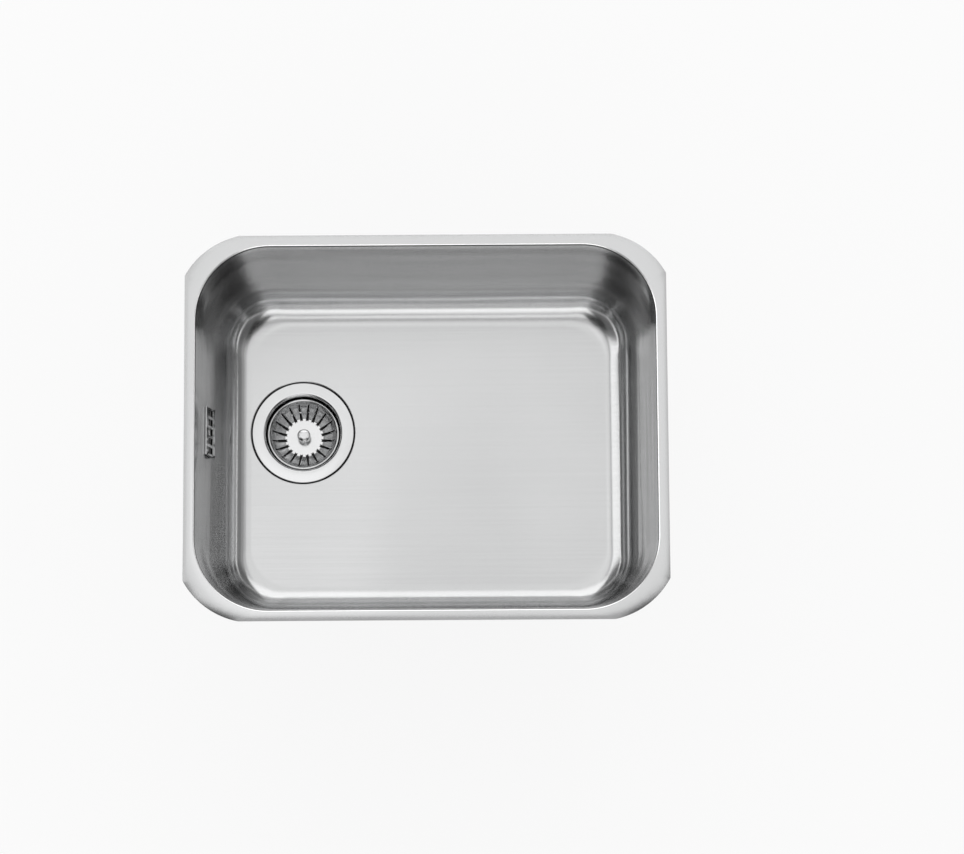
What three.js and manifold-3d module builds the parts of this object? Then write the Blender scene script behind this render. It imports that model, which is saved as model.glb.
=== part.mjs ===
// Undermount kitchen sink: one pressed steel bowl with a basket strainer waste and a wall overflow.
// Millimetres, +Z up, X to the right and Y to the back, as seen by someone standing at the sink.
// The origin is the centre of the bowl's opening, in the top face of the rim.
import * as THREE from 'three';
import { mergeVertices } from 'three/addons/utils/BufferGeometryUtils.js';
import Module from 'manifold-3d';

// ---- Driving dimensions -------------------------------------------------------------------

// Free gap between pieces that seat on each other.
const SEAT_GAP = 0.3;

// Bowl: opening inside the rim, and the pressed wall below it.
const OPENING_LENGTH = 500;
const OPENING_WIDTH = 400;
const OPENING_CORNER_RADIUS = 80;
const BOWL_DEPTH = 180;
const SHEET_THICKNESS = 1;
const WALL_DRAFT_DEG = 8.5;
const FLOOR_BEND_RADIUS = 30;
const FLOOR_CORNER_OPENING = 0.6;
const RIM_BEND_RADIUS = 1;
const SMALLEST_CORNER_RADIUS = 6;

// Rim: a flat flange whose corner arcs are cut larger than tangent, so they meet the sides at a kink.
const RIM_WIDTH = 12;
const RIM_CORNER_RADIUS = 88;
const RIM_CORNER_CENTRE_FROM_END = 77.5;
const RIM_CORNER_CENTRE_FROM_SIDE = 86.2;

// Waste hole, off centre in the floor, with a pressed recess for the strainer flange.
const DRAIN_FROM_END = 109;
const DRAIN_Y = 26;
const DRAIN_HOLE_RADIUS = 45;
const RECESS_CLEARANCE = 1.2;
const RECESS_TAPER = 1.4;

// Sound-deadening pad glued under the floor.
const PAD_LENGTH = 210;
const PAD_WIDTH = 200;
const PAD_THICKNESS = 2.5;
const PAD_CORNER_RADIUS = 18;
const PAD_CENTRE_X = 60;

// Strainer flange: pressed cup with a flat ring that sits flush in the recess.
// The ring reaches past the waste body's collar, which clamps it from below.
const STRAINER_RING_OVERHANG = 1;
const STRAINER_RING_THICKNESS = 1.4;
const STRAINER_SHEET = 1.1;
const THROAT_RADIUS = 42.2;
const THROAT_BEND_RADIUS = 3.2;
const THROAT_DEPTH = 31;
const CUP_DEPTH = 42;
const CUP_FLOOR_RADIUS = 32.5;
const OUTLET_SECTOR_RADIUS = 26;
const OUTLET_HUB_RADIUS = 8;
const OUTLET_SPOKE_WIDTH = 5;
const OUTLET_SPOKES = 4;
const FLANGE_SEAL_THICKNESS = 1.5;
const FLANGE_SEAL_INSET = 2;

// Waste body below the sink, drawn up to the strainer flange by one long screw.
const BODY_SEAL_THICKNESS = 3;
const BODY_RADIUS = 49.5;
const BODY_WALL = 3;
const BODY_COLLAR_RADIUS = 56;
const BODY_COLLAR_THICKNESS = 4;
const BODY_CHAMBER_DEPTH = 64;
const BODY_CONE_DEPTH = 78;
const BODY_DEPTH = 101;
const OUTLET_RADIUS = 23.9;
const OUTLET_WALL = 4;
const BOSS_RADIUS = 8.5;
const BOSS_TOP = 60;
const BOSS_LENGTH = 15;
const BOSS_RIB_THICKNESS = 3;
const BOSS_RIB_HEIGHT = 8;
const SCREW_RADIUS = 3;
const SCREW_HOLE_CLEARANCE = 0.4;
const SCREW_HEAD_RADIUS = 5.6;
const SCREW_HEAD_HEIGHT = 2.8;
const SCREW_WASHER_RADIUS = 7;
const SCREW_WASHER_THICKNESS = 1;
const INSERT_ACROSS_FLATS = 10;
const INSERT_LENGTH = 9;

// Basket: slotted cup with a rolled lip, which turns on its plug and lifts out with it.
const BASKET_LIP_RADIUS = 40.4;
const BASKET_LIP_DROP = 8.6;
const BASKET_LIP_WIDTH = 2.6;
const BASKET_SHEET = 0.9;
const BASKET_SHOULDER_RADIUS = 36.4;
const BASKET_SHOULDER_DROP = 14;
const BASKET_FLOOR_RADIUS = 23.5;
const BASKET_FLOOR_DROP = 32;
const BASKET_FLOOR_BEND = 2.5;
const SLOT_COUNT = 20;
const SLOT_WIDTH = 2.2;
const SLOT_INNER_RADIUS = 18.6;
const SLOT_TOP_DROP = 15.5;
const KNOB_RADIUS = 7.4;
const KNOB_NECK_RADIUS = 4.2;
const KNOB_HEAD_HEIGHT = 5.6;
const KNOB_TOP_DROP = 16;
const STEM_RADIUS = 2.5;
const STEM_HEAD_RADIUS = 5.4;
const STEM_HEAD_HEIGHT = 1.3;
const STEM_HOLE_CLEARANCE = 0.35;
const PLUG_SEAL_RADIUS = 30.5;
const PLUG_SEAL_THICKNESS = 3.4;
const PLUG_DOME_RADIUS = 10;
const PLUG_DOME_WALL = 2.6;
const CARRIER_RADIUS = 28;

// Overflow in the end wall nearest the waste: windowed cover inside, housing behind.
const OVERFLOW_Y = 6;
const OVERFLOW_DROP = 65;
const COVER_LENGTH = 53.5;
const COVER_HEIGHT = 26.5;
const COVER_TOP_PROUD = 1.8;
const COVER_BOTTOM_PROUD = 5.6;
const WINDOW_COUNT = 5;
const WINDOW_PITCH = 10.4;
const WINDOW_LENGTH = 7;
const WINDOW_HEIGHT = 14;
const WALL_SLOT_LENGTH = 48;
const WALL_SLOT_HEIGHT = 17;
const COVER_BOSS_RADIUS = 3.4;
const COVER_BOSS_RISE = 3;
const COVER_SCREW_RADIUS = 1.7;
const COVER_SCREW_HEAD_RADIUS = 2.7;
const COVER_SCREW_HEAD_HEIGHT = 1.4;
const OVERFLOW_SEAL_THICKNESS = 2.4;
const OVERFLOW_SEAL_WIDTH = 5;
const HOUSING_LENGTH = 62;
const HOUSING_HEIGHT = 36;
const HOUSING_DEPTH = 18;
const HOUSING_WALL = 2.2;
const HOUSING_CORNER_RADIUS = 8;
const HOUSING_COLLAR = 4;
const HOUSING_COLLAR_THICKNESS = 2.5;
const HOUSING_BOSS_RADIUS = 4.6;
const HOUSING_BOSS_LENGTH = 14;

// Hose unions: the same threaded port, nut and washer on the housing and on the waste body.
const PORT_RADIUS = 11.5;
const PORT_BORE_RADIUS = 8.5;
const HOUSING_PORT_LENGTH = 17;
const HOUSING_PORT_RISE = 9;
const HOUSING_PORT_CHAMFER = 4;
const BODY_PORT_LENGTH = 25;
const BODY_PORT_DROP = 46;
const BODY_PORT_RISE_DEG = 40;
const UNION_WASHER_THICKNESS = 2;
const NUT_RADIUS = 14.6;
const NUT_WALL_CLEARANCE = 0.6;
const NUT_GRIP = 10;
const NUT_LIP = 2.4;
const NUT_LOBES = 12;
const NUT_LOBE_RADIUS = 1.6;
const HOSE_COLLAR_THICKNESS = 2;
const HOSE_RADIUS = 10.4;
const HOSE_VALLEY_DEPTH = 1.5;
const HOSE_BORE_RADIUS = 7.4;
const HOSE_RIB_PITCH = 4.6;
const HOSE_CUFF_LENGTH = 16;
const HOSE_BEND_PULL = 26;

// Mesh fineness.
const CORNER_STEPS = 10;
const BEND_STEPS = 6;
const ROLL_STEPS = 3;
const FINE_SIDES = 40;
const PLAIN_SIDES = 24;
const SMALL_SIDES = 16;
const HOSE_SIDES = 10;
const RIBS_PER_BORE_RING = 5;

// ---- Colours ------------------------------------------------------------------------------

const finish = (color, roughness, metalness) => ({ color, roughness, metalness });
const BRUSHED_STEEL = finish(0xc4c5c7, 0.3, 1);
const POLISHED_STEEL = finish(0xd4d5d7, 0.16, 1);
const BLACK_RUBBER = finish(0x1b1b1c, 0.85, 0);
const WHITE_PLASTIC = finish(0xe6e6e2, 0.45, 0);
const GREY_PLASTIC = finish(0x8c8f92, 0.5, 0);
const BRASS = finish(0xc2a25a, 0.35, 1);
const PAD_GREY = finish(0x4b4c4e, 0.95, 0);

// ---- Solid modelling helpers --------------------------------------------------------------

const wasm = await Module();
wasm.setup();

const radians = THREE.MathUtils.degToRad;

// Merges a geometry's vertices, drops needle triangles and turns its faces outwards.
function closed(geometry) {
  const bare = geometry.clone();
  bare.deleteAttribute('normal');
  bare.deleteAttribute('uv');
  const merged = mergeVertices(bare, 1e-4);
  const points = merged.attributes.position;
  const corners = merged.index.array;
  const kept = [];
  const a = new THREE.Vector3();
  const b = new THREE.Vector3();
  const c = new THREE.Vector3();
  let volume = 0;
  for (let i = 0; i < corners.length; i += 3) {
    const [p, q, r] = [corners[i], corners[i + 1], corners[i + 2]];
    if (p === q || q === r || r === p) continue;
    kept.push(p, q, r);
    a.fromBufferAttribute(points, p);
    b.fromBufferAttribute(points, q);
    c.fromBufferAttribute(points, r);
    volume += a.dot(b.cross(c));
  }
  merged.setIndex(volume < 0 ? kept.reverse() : kept);
  return merged;
}

function solid(geometry) {
  const shape = closed(geometry);
  return new wasm.Manifold(new wasm.Mesh({
    numProp: 3,
    vertProperties: new Float32Array(shape.attributes.position.array),
    triVerts: new Uint32Array(shape.index.array),
  }));
}

function geometryOf(manifold) {
  const mesh = manifold.getMesh();
  const geometry = new THREE.BufferGeometry();
  geometry.setAttribute('position', new THREE.BufferAttribute(mesh.vertProperties, 3));
  geometry.setIndex(new THREE.BufferAttribute(mesh.triVerts, 1));
  return geometry;
}

const join = (first, ...rest) => rest.reduce((sum, piece) => sum.add(solid(piece)), first);
const cut = (first, ...rest) => rest.reduce((sum, piece) => sum.subtract(solid(piece)), first);

function piece(name, geometry, look) {
  const mesh = new THREE.Mesh(closed(geometry), new THREE.MeshStandardMaterial(look));
  mesh.name = name;
  return mesh;
}

// Points of an arc in a profile, both ends included, angles in degrees.
function arc(centreX, centreY, radius, fromDeg, toDeg, steps) {
  return Array.from({ length: steps + 1 }, (_, i) => {
    const angle = radians(fromDeg + (toDeg - fromDeg) * i / steps);
    return new THREE.Vector2(centreX + radius * Math.cos(angle), centreY + radius * Math.sin(angle));
  });
}

const at = (x, y) => new THREE.Vector2(x, y);

// Turns a closed profile of radius and height about the Z axis.
function revolve(profile, sides = PLAIN_SIDES) {
  const loop = [...profile, profile[0].clone()];
  return new THREE.LatheGeometry(loop, sides).rotateX(Math.PI / 2);
}

// A profile that starts and ends on the axis needs no closing point.
function revolveFromAxis(profile, sides = PLAIN_SIDES) {
  return new THREE.LatheGeometry(profile, sides).rotateX(Math.PI / 2);
}

const disc = (radius, bottom, top, sides) =>
  revolveFromAxis([at(0, bottom), at(radius, bottom), at(radius, top), at(0, top)], sides);

const ring = (inner, outer, bottom, top, sides) =>
  revolve([at(inner, bottom), at(outer, bottom), at(outer, top), at(inner, top)], sides);

// Gives a line of profile points the thickness of a sheet, on the right-hand side of its direction.
function sheetProfile(line, thickness) {
  const normals = line.slice(1).map((point, i) => {
    const along = point.clone().sub(line[i]).normalize();
    return at(along.y, -along.x);
  });
  const back = line.map((point, i) => {
    const before = normals[Math.max(i - 1, 0)];
    const after = normals[Math.min(i, normals.length - 1)];
    const mitre = before.clone().add(after).multiplyScalar(thickness / (1 + before.dot(after)));
    return point.clone().add(mitre);
  });
  return [...line, ...back.reverse()];
}

function roundedRectangle(length, width, radius) {
  const x = length / 2 - radius;
  const y = width / 2 - radius;
  return new THREE.Shape()
    .absarc(x, y, radius, 0, Math.PI / 2)
    .absarc(-x, y, radius, Math.PI / 2, Math.PI)
    .absarc(-x, -y, radius, Math.PI, Math.PI * 1.5)
    .absarc(x, -y, radius, Math.PI * 1.5, Math.PI * 2);
}

const extrude = (shape, depth, curveSegments = 6) =>
  new THREE.ExtrudeGeometry(shape, { depth, bevelEnabled: false, curveSegments });

const box = (x, y, z, dx, dy, dz) => new THREE.BoxGeometry(dx, dy, dz).translate(x, y, z);

// Skins a stack of rings that have the same number of points, and closes both ends with a fan.
function loft(rings) {
  const count = rings[0].length;
  const points = rings.flat();
  const faces = [];
  for (let level = 0; level < rings.length - 1; level += 1) {
    for (let i = 0; i < count; i += 1) {
      const next = (i + 1) % count;
      const [a, b] = [level * count + i, level * count + next];
      faces.push(a, b, b + count, a, b + count, a + count);
    }
  }
  [[0, 1], [rings.length - 1, -1]].forEach(([level, turn]) => {
    const hub = points.length;
    const sum = rings[level].reduce((total, point) => total.add(point), new THREE.Vector3());
    points.push(sum.divideScalar(count));
    for (let i = 0; i < count; i += 1) {
      const edge = [level * count + i, level * count + (i + 1) % count];
      faces.push(hub, ...(turn > 0 ? edge.reverse() : edge));
    }
  });
  const geometry = new THREE.BufferGeometry().setFromPoints(points);
  geometry.setIndex(faces);
  return geometry;
}

// ---- Bowl ---------------------------------------------------------------------------------

const draft = radians(WALL_DRAFT_DEG);
const rimRoll = RIM_BEND_RADIUS + SHEET_THICKNESS;
const rollCentreInset = -rimRoll * Math.cos(draft);
const wallTop = -rimRoll * (1 - Math.sin(draft));
const wallFoot = -BOWL_DEPTH + FLOOR_BEND_RADIUS * (1 - Math.sin(draft));
const wallFootInset = (wallTop - wallFoot) * Math.tan(draft);
const floorInset = wallFootInset + FLOOR_BEND_RADIUS * Math.cos(draft);

// One skin of the wall as points of inset from the opening and height. Depth 0 is the inside skin.
function wallProfile(skinDepth) {
  const roll = arc(rollCentreInset, -rimRoll, rimRoll - skinDepth, 90, WALL_DRAFT_DEG, ROLL_STEPS);
  const bend = arc(
    floorInset, -BOWL_DEPTH + FLOOR_BEND_RADIUS, FLOOR_BEND_RADIUS + skinDepth,
    180 + WALL_DRAFT_DEG, 270, BEND_STEPS,
  );
  return [...roll, ...bend];
}

// The corners stay concentric down the wall and lose only part of their radius in the floor bend.
function cornerRadius(inset) {
  const opening = FLOOR_CORNER_OPENING * Math.max(inset - wallFootInset, 0);
  return Math.max(OPENING_CORNER_RADIUS - inset + opening, SMALLEST_CORNER_RADIUS);
}

function bowlRing(inset, height) {
  const radius = cornerRadius(inset);
  const x = OPENING_LENGTH / 2 - inset - radius;
  const y = OPENING_WIDTH / 2 - inset - radius;
  const corners = [[x, y, 0], [-x, y, 90], [-x, -y, 180], [x, -y, 270]];
  return corners.flatMap(([cx, cy, start]) => arc(cx, cy, radius, start, start + 90, CORNER_STEPS)
    .map((point) => new THREE.Vector3(point.x, point.y, height)));
}

function wallLoft(skinDepth, startHeight) {
  const profile = wallProfile(skinDepth);
  return loft([
    bowlRing(profile[0].x, startHeight),
    ...profile.map((point) => bowlRing(point.x, point.y)),
  ]);
}

function rimOutline() {
  const halfLength = OPENING_LENGTH / 2 + RIM_WIDTH;
  const halfWidth = OPENING_WIDTH / 2 + RIM_WIDTH;
  const x = halfLength - RIM_CORNER_CENTRE_FROM_END;
  const y = halfWidth - RIM_CORNER_CENTRE_FROM_SIDE;
  const start = Math.acos(Math.min(RIM_CORNER_CENTRE_FROM_END / RIM_CORNER_RADIUS, 1));
  const end = Math.asin(Math.min(RIM_CORNER_CENTRE_FROM_SIDE / RIM_CORNER_RADIUS, 1));
  return new THREE.Shape()
    .absarc(x, y, RIM_CORNER_RADIUS, start, end)
    .absarc(-x, y, RIM_CORNER_RADIUS, Math.PI - end, Math.PI - start)
    .absarc(-x, -y, RIM_CORNER_RADIUS, Math.PI + start, Math.PI + end)
    .absarc(x, -y, RIM_CORNER_RADIUS, -end, -start);
}

const drainX = -OPENING_LENGTH / 2 + DRAIN_FROM_END;
const strainerRingRadius = BODY_COLLAR_RADIUS + STRAINER_RING_OVERHANG;
const recessDepth = FLANGE_SEAL_THICKNESS + STRAINER_RING_THICKNESS + 2 * SEAT_GAP;
const recessRadius = strainerRingRadius + RECESS_CLEARANCE;

// The recess at one skin of the sheet, from above the floor's inside skin down.
function recess(skinDepth) {
  return revolveFromAxis([
    at(0, -recessDepth - skinDepth),
    at(recessRadius - RECESS_TAPER + skinDepth, -recessDepth - skinDepth),
    at(recessRadius + skinDepth, -recessDepth + RECESS_TAPER - skinDepth),
    at(recessRadius + skinDepth, -SHEET_THICKNESS / 2),
    at(recessRadius + RECESS_TAPER / 2 + skinDepth, 0),
    at(recessRadius + RECESS_TAPER / 2 + skinDepth, SHEET_THICKNESS / 2 - skinDepth),
    at(0, SHEET_THICKNESS / 2 - skinDepth),
  ], FINE_SIDES);
}

// The overflow's frame lies on the inside skin of the end wall: x into the bowl, z up the wall.
const overflowFrame = new THREE.Group();
overflowFrame.position.set(
  -OPENING_LENGTH / 2 + (OVERFLOW_DROP + wallTop) * Math.tan(draft), OVERFLOW_Y, -OVERFLOW_DROP,
);
overflowFrame.rotation.y = -draft;
overflowFrame.updateMatrix();

const alongWall = (shape, from, to) => extrude(shape, to - from)
  .translate(0, 0, from)
  .rotateX(Math.PI / 2)
  .rotateZ(Math.PI / 2);

function bowl() {
  const drain = (geometry) => geometry.translate(drainX, DRAIN_Y, -BOWL_DEPTH);
  const rim = extrude(rimOutline(), SHEET_THICKNESS, CORNER_STEPS).translate(0, 0, -SHEET_THICKNESS);
  const slot = alongWall(
    roundedRectangle(WALL_SLOT_LENGTH, WALL_SLOT_HEIGHT, WALL_SLOT_HEIGHT / 4),
    -4 * SHEET_THICKNESS, 4 * SHEET_THICKNESS,
  ).applyMatrix4(overflowFrame.matrix);
  const outside = join(
    solid(wallLoft(SHEET_THICKNESS, -SHEET_THICKNESS / 2)), rim, drain(recess(SHEET_THICKNESS)),
  );
  const shell = cut(
    outside,
    wallLoft(0, SHEET_THICKNESS),
    drain(recess(0)),
    drain(disc(DRAIN_HOLE_RADIUS, -4 * recessDepth, 0, FINE_SIDES)),
    slot,
  );
  return piece('bowl', geometryOf(shell), BRUSHED_STEEL);
}

function soundPad() {
  const pad = extrude(roundedRectangle(PAD_LENGTH, PAD_WIDTH, PAD_CORNER_RADIUS), PAD_THICKNESS)
    .translate(PAD_CENTRE_X, 0, -BOWL_DEPTH - SHEET_THICKNESS - SEAT_GAP - PAD_THICKNESS);
  return piece('sound_pad', pad, PAD_GREY);
}

// ---- Strainer flange and waste body, heights from the bowl's floor ------------------------

const sealSeat = -recessDepth + SEAT_GAP;

function flangeSeal() {
  const seal = ring(
    DRAIN_HOLE_RADIUS, strainerRingRadius - FLANGE_SEAL_INSET, sealSeat,
    sealSeat + FLANGE_SEAL_THICKNESS,
  );
  return piece('flange_seal', seal, BLACK_RUBBER);
}

function strainerFlange() {
  const bendX = THROAT_RADIUS + THROAT_BEND_RADIUS;
  const cup = revolve(sheetProfile([
    at(SCREW_RADIUS + SCREW_HOLE_CLEARANCE, -CUP_DEPTH),
    at(OUTLET_HUB_RADIUS, -CUP_DEPTH),
    at(CUP_FLOOR_RADIUS, -CUP_DEPTH),
    at(THROAT_RADIUS, -THROAT_DEPTH),
    ...arc(bendX, -THROAT_BEND_RADIUS, THROAT_BEND_RADIUS, 180, 90, ROLL_STEPS),
    at(strainerRingRadius - STRAINER_RING_THICKNESS, 0),
  ], STRAINER_SHEET), FINE_SIDES);
  const edge = revolve([
    at(bendX, -STRAINER_RING_THICKNESS),
    at(strainerRingRadius, -STRAINER_RING_THICKNESS),
    at(strainerRingRadius, -STRAINER_RING_THICKNESS / 2),
    at(strainerRingRadius - STRAINER_RING_THICKNESS / 2, 0),
    at(bendX, 0),
  ], FINE_SIDES);
  const sectorTool = ring(
    OUTLET_HUB_RADIUS, OUTLET_SECTOR_RADIUS, -CUP_DEPTH - 3 * STRAINER_SHEET, -CUP_DEPTH + 1,
    PLAIN_SIDES,
  );
  let sectors = solid(sectorTool);
  for (let i = 0; i < OUTLET_SPOKES / 2; i += 1) {
    sectors = cut(sectors, box(0, 0, -CUP_DEPTH, 4 * OUTLET_SECTOR_RADIUS, OUTLET_SPOKE_WIDTH, 20)
      .rotateZ(Math.PI * (i + 0.5) * 2 / OUTLET_SPOKES));
  }
  const pressed = join(solid(cup), edge).subtract(sectors);
  return piece('strainer_flange', geometryOf(pressed), POLISHED_STEEL);
}

const bodySealTop = -recessDepth - SHEET_THICKNESS - SEAT_GAP;
const bodyTop = bodySealTop - BODY_SEAL_THICKNESS - SEAT_GAP;

function bodySeal() {
  const seal = ring(
    BODY_RADIUS - BODY_WALL, BODY_COLLAR_RADIUS, bodySealTop - BODY_SEAL_THICKNESS, bodySealTop,
  );
  return piece('body_seal', seal, BLACK_RUBBER);
}

// The waste body's hose port, made on the Z axis and turned towards the end wall.
const port = (from, to) => disc(PORT_RADIUS, from, to, PLAIN_SIDES);
const portBore = (from, to) => disc(PORT_BORE_RADIUS, from, to, PLAIN_SIDES);
const towardsEndWall = (geometry) => geometry
  .rotateY(radians(BODY_PORT_RISE_DEG - 90))
  .translate(-BODY_RADIUS, 0, -BODY_PORT_DROP);

function wasteBody() {
  const chamberRadius = BODY_RADIUS - BODY_WALL;
  const outside = revolveFromAxis([
    at(0, bodyTop),
    at(BODY_COLLAR_RADIUS, bodyTop),
    at(BODY_COLLAR_RADIUS, bodyTop - BODY_COLLAR_THICKNESS),
    at(BODY_RADIUS, bodyTop - BODY_COLLAR_THICKNESS - 2),
    at(BODY_RADIUS, -BODY_CHAMBER_DEPTH),
    at(OUTLET_RADIUS, -BODY_CONE_DEPTH),
    at(OUTLET_RADIUS, -BODY_DEPTH),
    at(0, -BODY_DEPTH),
  ], FINE_SIDES);
  const inside = revolveFromAxis([
    at(0, bodyTop + 1),
    at(chamberRadius, bodyTop + 1),
    at(chamberRadius, -BODY_CHAMBER_DEPTH + 1),
    at(OUTLET_RADIUS - OUTLET_WALL, -BODY_CONE_DEPTH + 1),
    at(OUTLET_RADIUS - OUTLET_WALL, -BODY_DEPTH - 1),
    at(0, -BODY_DEPTH - 1),
  ], FINE_SIDES);
  const ribs = [0, 1].map((i) => box(
    0, 0, -BOSS_TOP - BOSS_RIB_HEIGHT / 2 - 1,
    2 * BODY_RADIUS - BODY_WALL, BOSS_RIB_THICKNESS, BOSS_RIB_HEIGHT,
  ).rotateZ(Math.PI / 4 + i * Math.PI / 2));
  const envelope = solid(revolveFromAxis([
    at(0, 0),
    at(BODY_RADIUS - BODY_WALL / 2, 0),
    at(BODY_RADIUS - BODY_WALL / 2, -BODY_CHAMBER_DEPTH + 1),
    at(OUTLET_RADIUS - OUTLET_WALL / 2, -BODY_CONE_DEPTH + 1),
    at(0, -BODY_CONE_DEPTH + 1),
  ], FINE_SIDES));
  const shell = cut(
    join(solid(outside), towardsEndWall(port(-PORT_RADIUS, BODY_PORT_LENGTH))),
    inside,
    towardsEndWall(portBore(-PORT_RADIUS - 1, BODY_PORT_LENGTH + 1)),
  );
  const spider = join(
    solid(disc(BOSS_RADIUS, -BOSS_TOP - BOSS_LENGTH, -BOSS_TOP)), ...ribs,
  ).intersect(envelope);
  const insertPocket = new THREE.CylinderGeometry(1, 1, 1, 6).rotateX(Math.PI / 2)
    .scale(insertRadius + SEAT_GAP, insertRadius + SEAT_GAP, INSERT_LENGTH + SEAT_GAP)
    .translate(0, 0, -BOSS_TOP - BOSS_LENGTH + (INSERT_LENGTH + SEAT_GAP) / 2 - 0.01);
  const screwHole = disc(SCREW_RADIUS + SCREW_HOLE_CLEARANCE, -BODY_DEPTH, 0, SMALL_SIDES);
  const moulded = cut(shell.add(spider), insertPocket, screwHole);
  return piece('waste_body', geometryOf(moulded), WHITE_PLASTIC);
}

const insertRadius = INSERT_ACROSS_FLATS / Math.sqrt(3);

function clampInsert() {
  const block = new THREE.CylinderGeometry(insertRadius, insertRadius, INSERT_LENGTH, 6)
    .rotateX(Math.PI / 2)
    .translate(0, 0, -BOSS_TOP - BOSS_LENGTH + INSERT_LENGTH / 2);
  const bore = disc(
    SCREW_RADIUS + SEAT_GAP, -BOSS_TOP - BOSS_LENGTH - 1, -BOSS_TOP, SMALL_SIDES,
  );
  return piece('clamp_insert', geometryOf(cut(solid(block), bore)), BRASS);
}

const washerSeat = -CUP_DEPTH + SEAT_GAP;
const screwSeat = washerSeat + SCREW_WASHER_THICKNESS + SEAT_GAP;

function clampWasher() {
  const washer = ring(
    SCREW_RADIUS + SCREW_HOLE_CLEARANCE, SCREW_WASHER_RADIUS, washerSeat,
    washerSeat + SCREW_WASHER_THICKNESS,
  );
  return piece('clamp_washer', washer, BLACK_RUBBER);
}

function clampScrew() {
  const head = screwSeat + SCREW_HEAD_HEIGHT;
  const body = revolveFromAxis([
    at(0, -BOSS_TOP - BOSS_LENGTH + 1),
    at(SCREW_RADIUS, -BOSS_TOP - BOSS_LENGTH + 2),
    at(SCREW_RADIUS, screwSeat),
    at(SCREW_HEAD_RADIUS, screwSeat),
    at(SCREW_HEAD_RADIUS, head - 1),
    at(SCREW_HEAD_RADIUS - 1, head),
    at(0, head),
  ], SMALL_SIDES);
  const slot = box(0, 0, head, 4 * SCREW_HEAD_RADIUS, 1.4, 2);
  return piece('clamp_screw', geometryOf(cut(solid(body), slot)), POLISHED_STEEL);
}

// ---- Basket and plug, heights from the bowl's floor ---------------------------------------

const plugSeat = -CUP_DEPTH + SEAT_GAP;
const plugTop = plugSeat + PLUG_SEAL_THICKNESS;
const basketUnderside = -BASKET_FLOOR_DROP - BASKET_SHEET;
const domeTop = basketUnderside - SEAT_GAP;
const domeHollowTop = domeTop - PLUG_DOME_WALL;
const stemHeadTop = domeHollowTop - SEAT_GAP;
const stemHole = STEM_RADIUS + STEM_HOLE_CLEARANCE;

function plugSeal() {
  const seal = revolve([
    at(stemHole, domeHollowTop),
    at(PLUG_DOME_RADIUS - PLUG_DOME_WALL, domeHollowTop),
    at(PLUG_DOME_RADIUS - PLUG_DOME_WALL, plugSeat),
    at(PLUG_SEAL_RADIUS - 1, plugSeat),
    at(PLUG_SEAL_RADIUS, plugSeat + 1),
    at(PLUG_SEAL_RADIUS - 1.2, plugTop),
    at(PLUG_DOME_RADIUS, plugTop),
    at(PLUG_DOME_RADIUS, domeTop - 1),
    at(PLUG_DOME_RADIUS - 1, domeTop),
    at(stemHole, domeTop),
  ]);
  return piece('plug_seal', seal, BLACK_RUBBER);
}

function sealCarrier() {
  const carrier = ring(
    PLUG_DOME_RADIUS + SEAT_GAP, CARRIER_RADIUS, plugTop + SEAT_GAP, domeTop,
  );
  return piece('seal_carrier', carrier, GREY_PLASTIC);
}

function basketStem() {
  const top = -KNOB_TOP_DROP - KNOB_HEAD_HEIGHT / 2;
  const stem = revolveFromAxis([
    at(0, stemHeadTop - STEM_HEAD_HEIGHT),
    at(STEM_HEAD_RADIUS, stemHeadTop - STEM_HEAD_HEIGHT),
    at(STEM_HEAD_RADIUS, stemHeadTop),
    at(STEM_RADIUS, stemHeadTop),
    at(STEM_RADIUS, top),
    at(0, top),
  ], SMALL_SIDES);
  return piece('basket_stem', stem, POLISHED_STEEL);
}

function basketCup() {
  const lipInner = BASKET_LIP_RADIUS - BASKET_LIP_WIDTH;
  const lipMiddle = BASKET_LIP_RADIUS - BASKET_LIP_WIDTH / 2;
  const bend = BASKET_FLOOR_BEND;
  const cup = revolve(sheetProfile([
    at(stemHole, -BASKET_FLOOR_DROP),
    at(BASKET_FLOOR_RADIUS - bend, -BASKET_FLOOR_DROP),
    at(BASKET_FLOOR_RADIUS, -BASKET_FLOOR_DROP + bend / 3),
    at(BASKET_FLOOR_RADIUS + bend / 2, -BASKET_FLOOR_DROP + bend),
    at(BASKET_SHOULDER_RADIUS, -BASKET_SHOULDER_DROP),
    at(lipInner, -BASKET_LIP_DROP - BASKET_LIP_WIDTH / 2),
    at(lipMiddle, -BASKET_LIP_DROP),
    at(BASKET_LIP_RADIUS, -BASKET_LIP_DROP - BASKET_LIP_WIDTH / 2),
    at(BASKET_LIP_RADIUS, -BASKET_LIP_DROP - BASKET_LIP_WIDTH),
  ], BASKET_SHEET), 2 * SLOT_COUNT);
  const slotLength = BASKET_LIP_RADIUS - SLOT_INNER_RADIUS;
  const slotHeight = BASKET_FLOOR_DROP + 4 * BASKET_SHEET - SLOT_TOP_DROP;
  let slotted = solid(cup);
  for (let i = 0; i < SLOT_COUNT; i += 1) {
    const slot = box(
      SLOT_INNER_RADIUS + slotLength / 2, 0, -SLOT_TOP_DROP - slotHeight / 2,
      slotLength, SLOT_WIDTH, slotHeight,
    ).rotateZ(Math.PI * 2 * (i + 0.5) / SLOT_COUNT);
    slotted = cut(slotted, slot);
  }
  return piece('basket_cup', geometryOf(slotted), POLISHED_STEEL);
}

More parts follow.
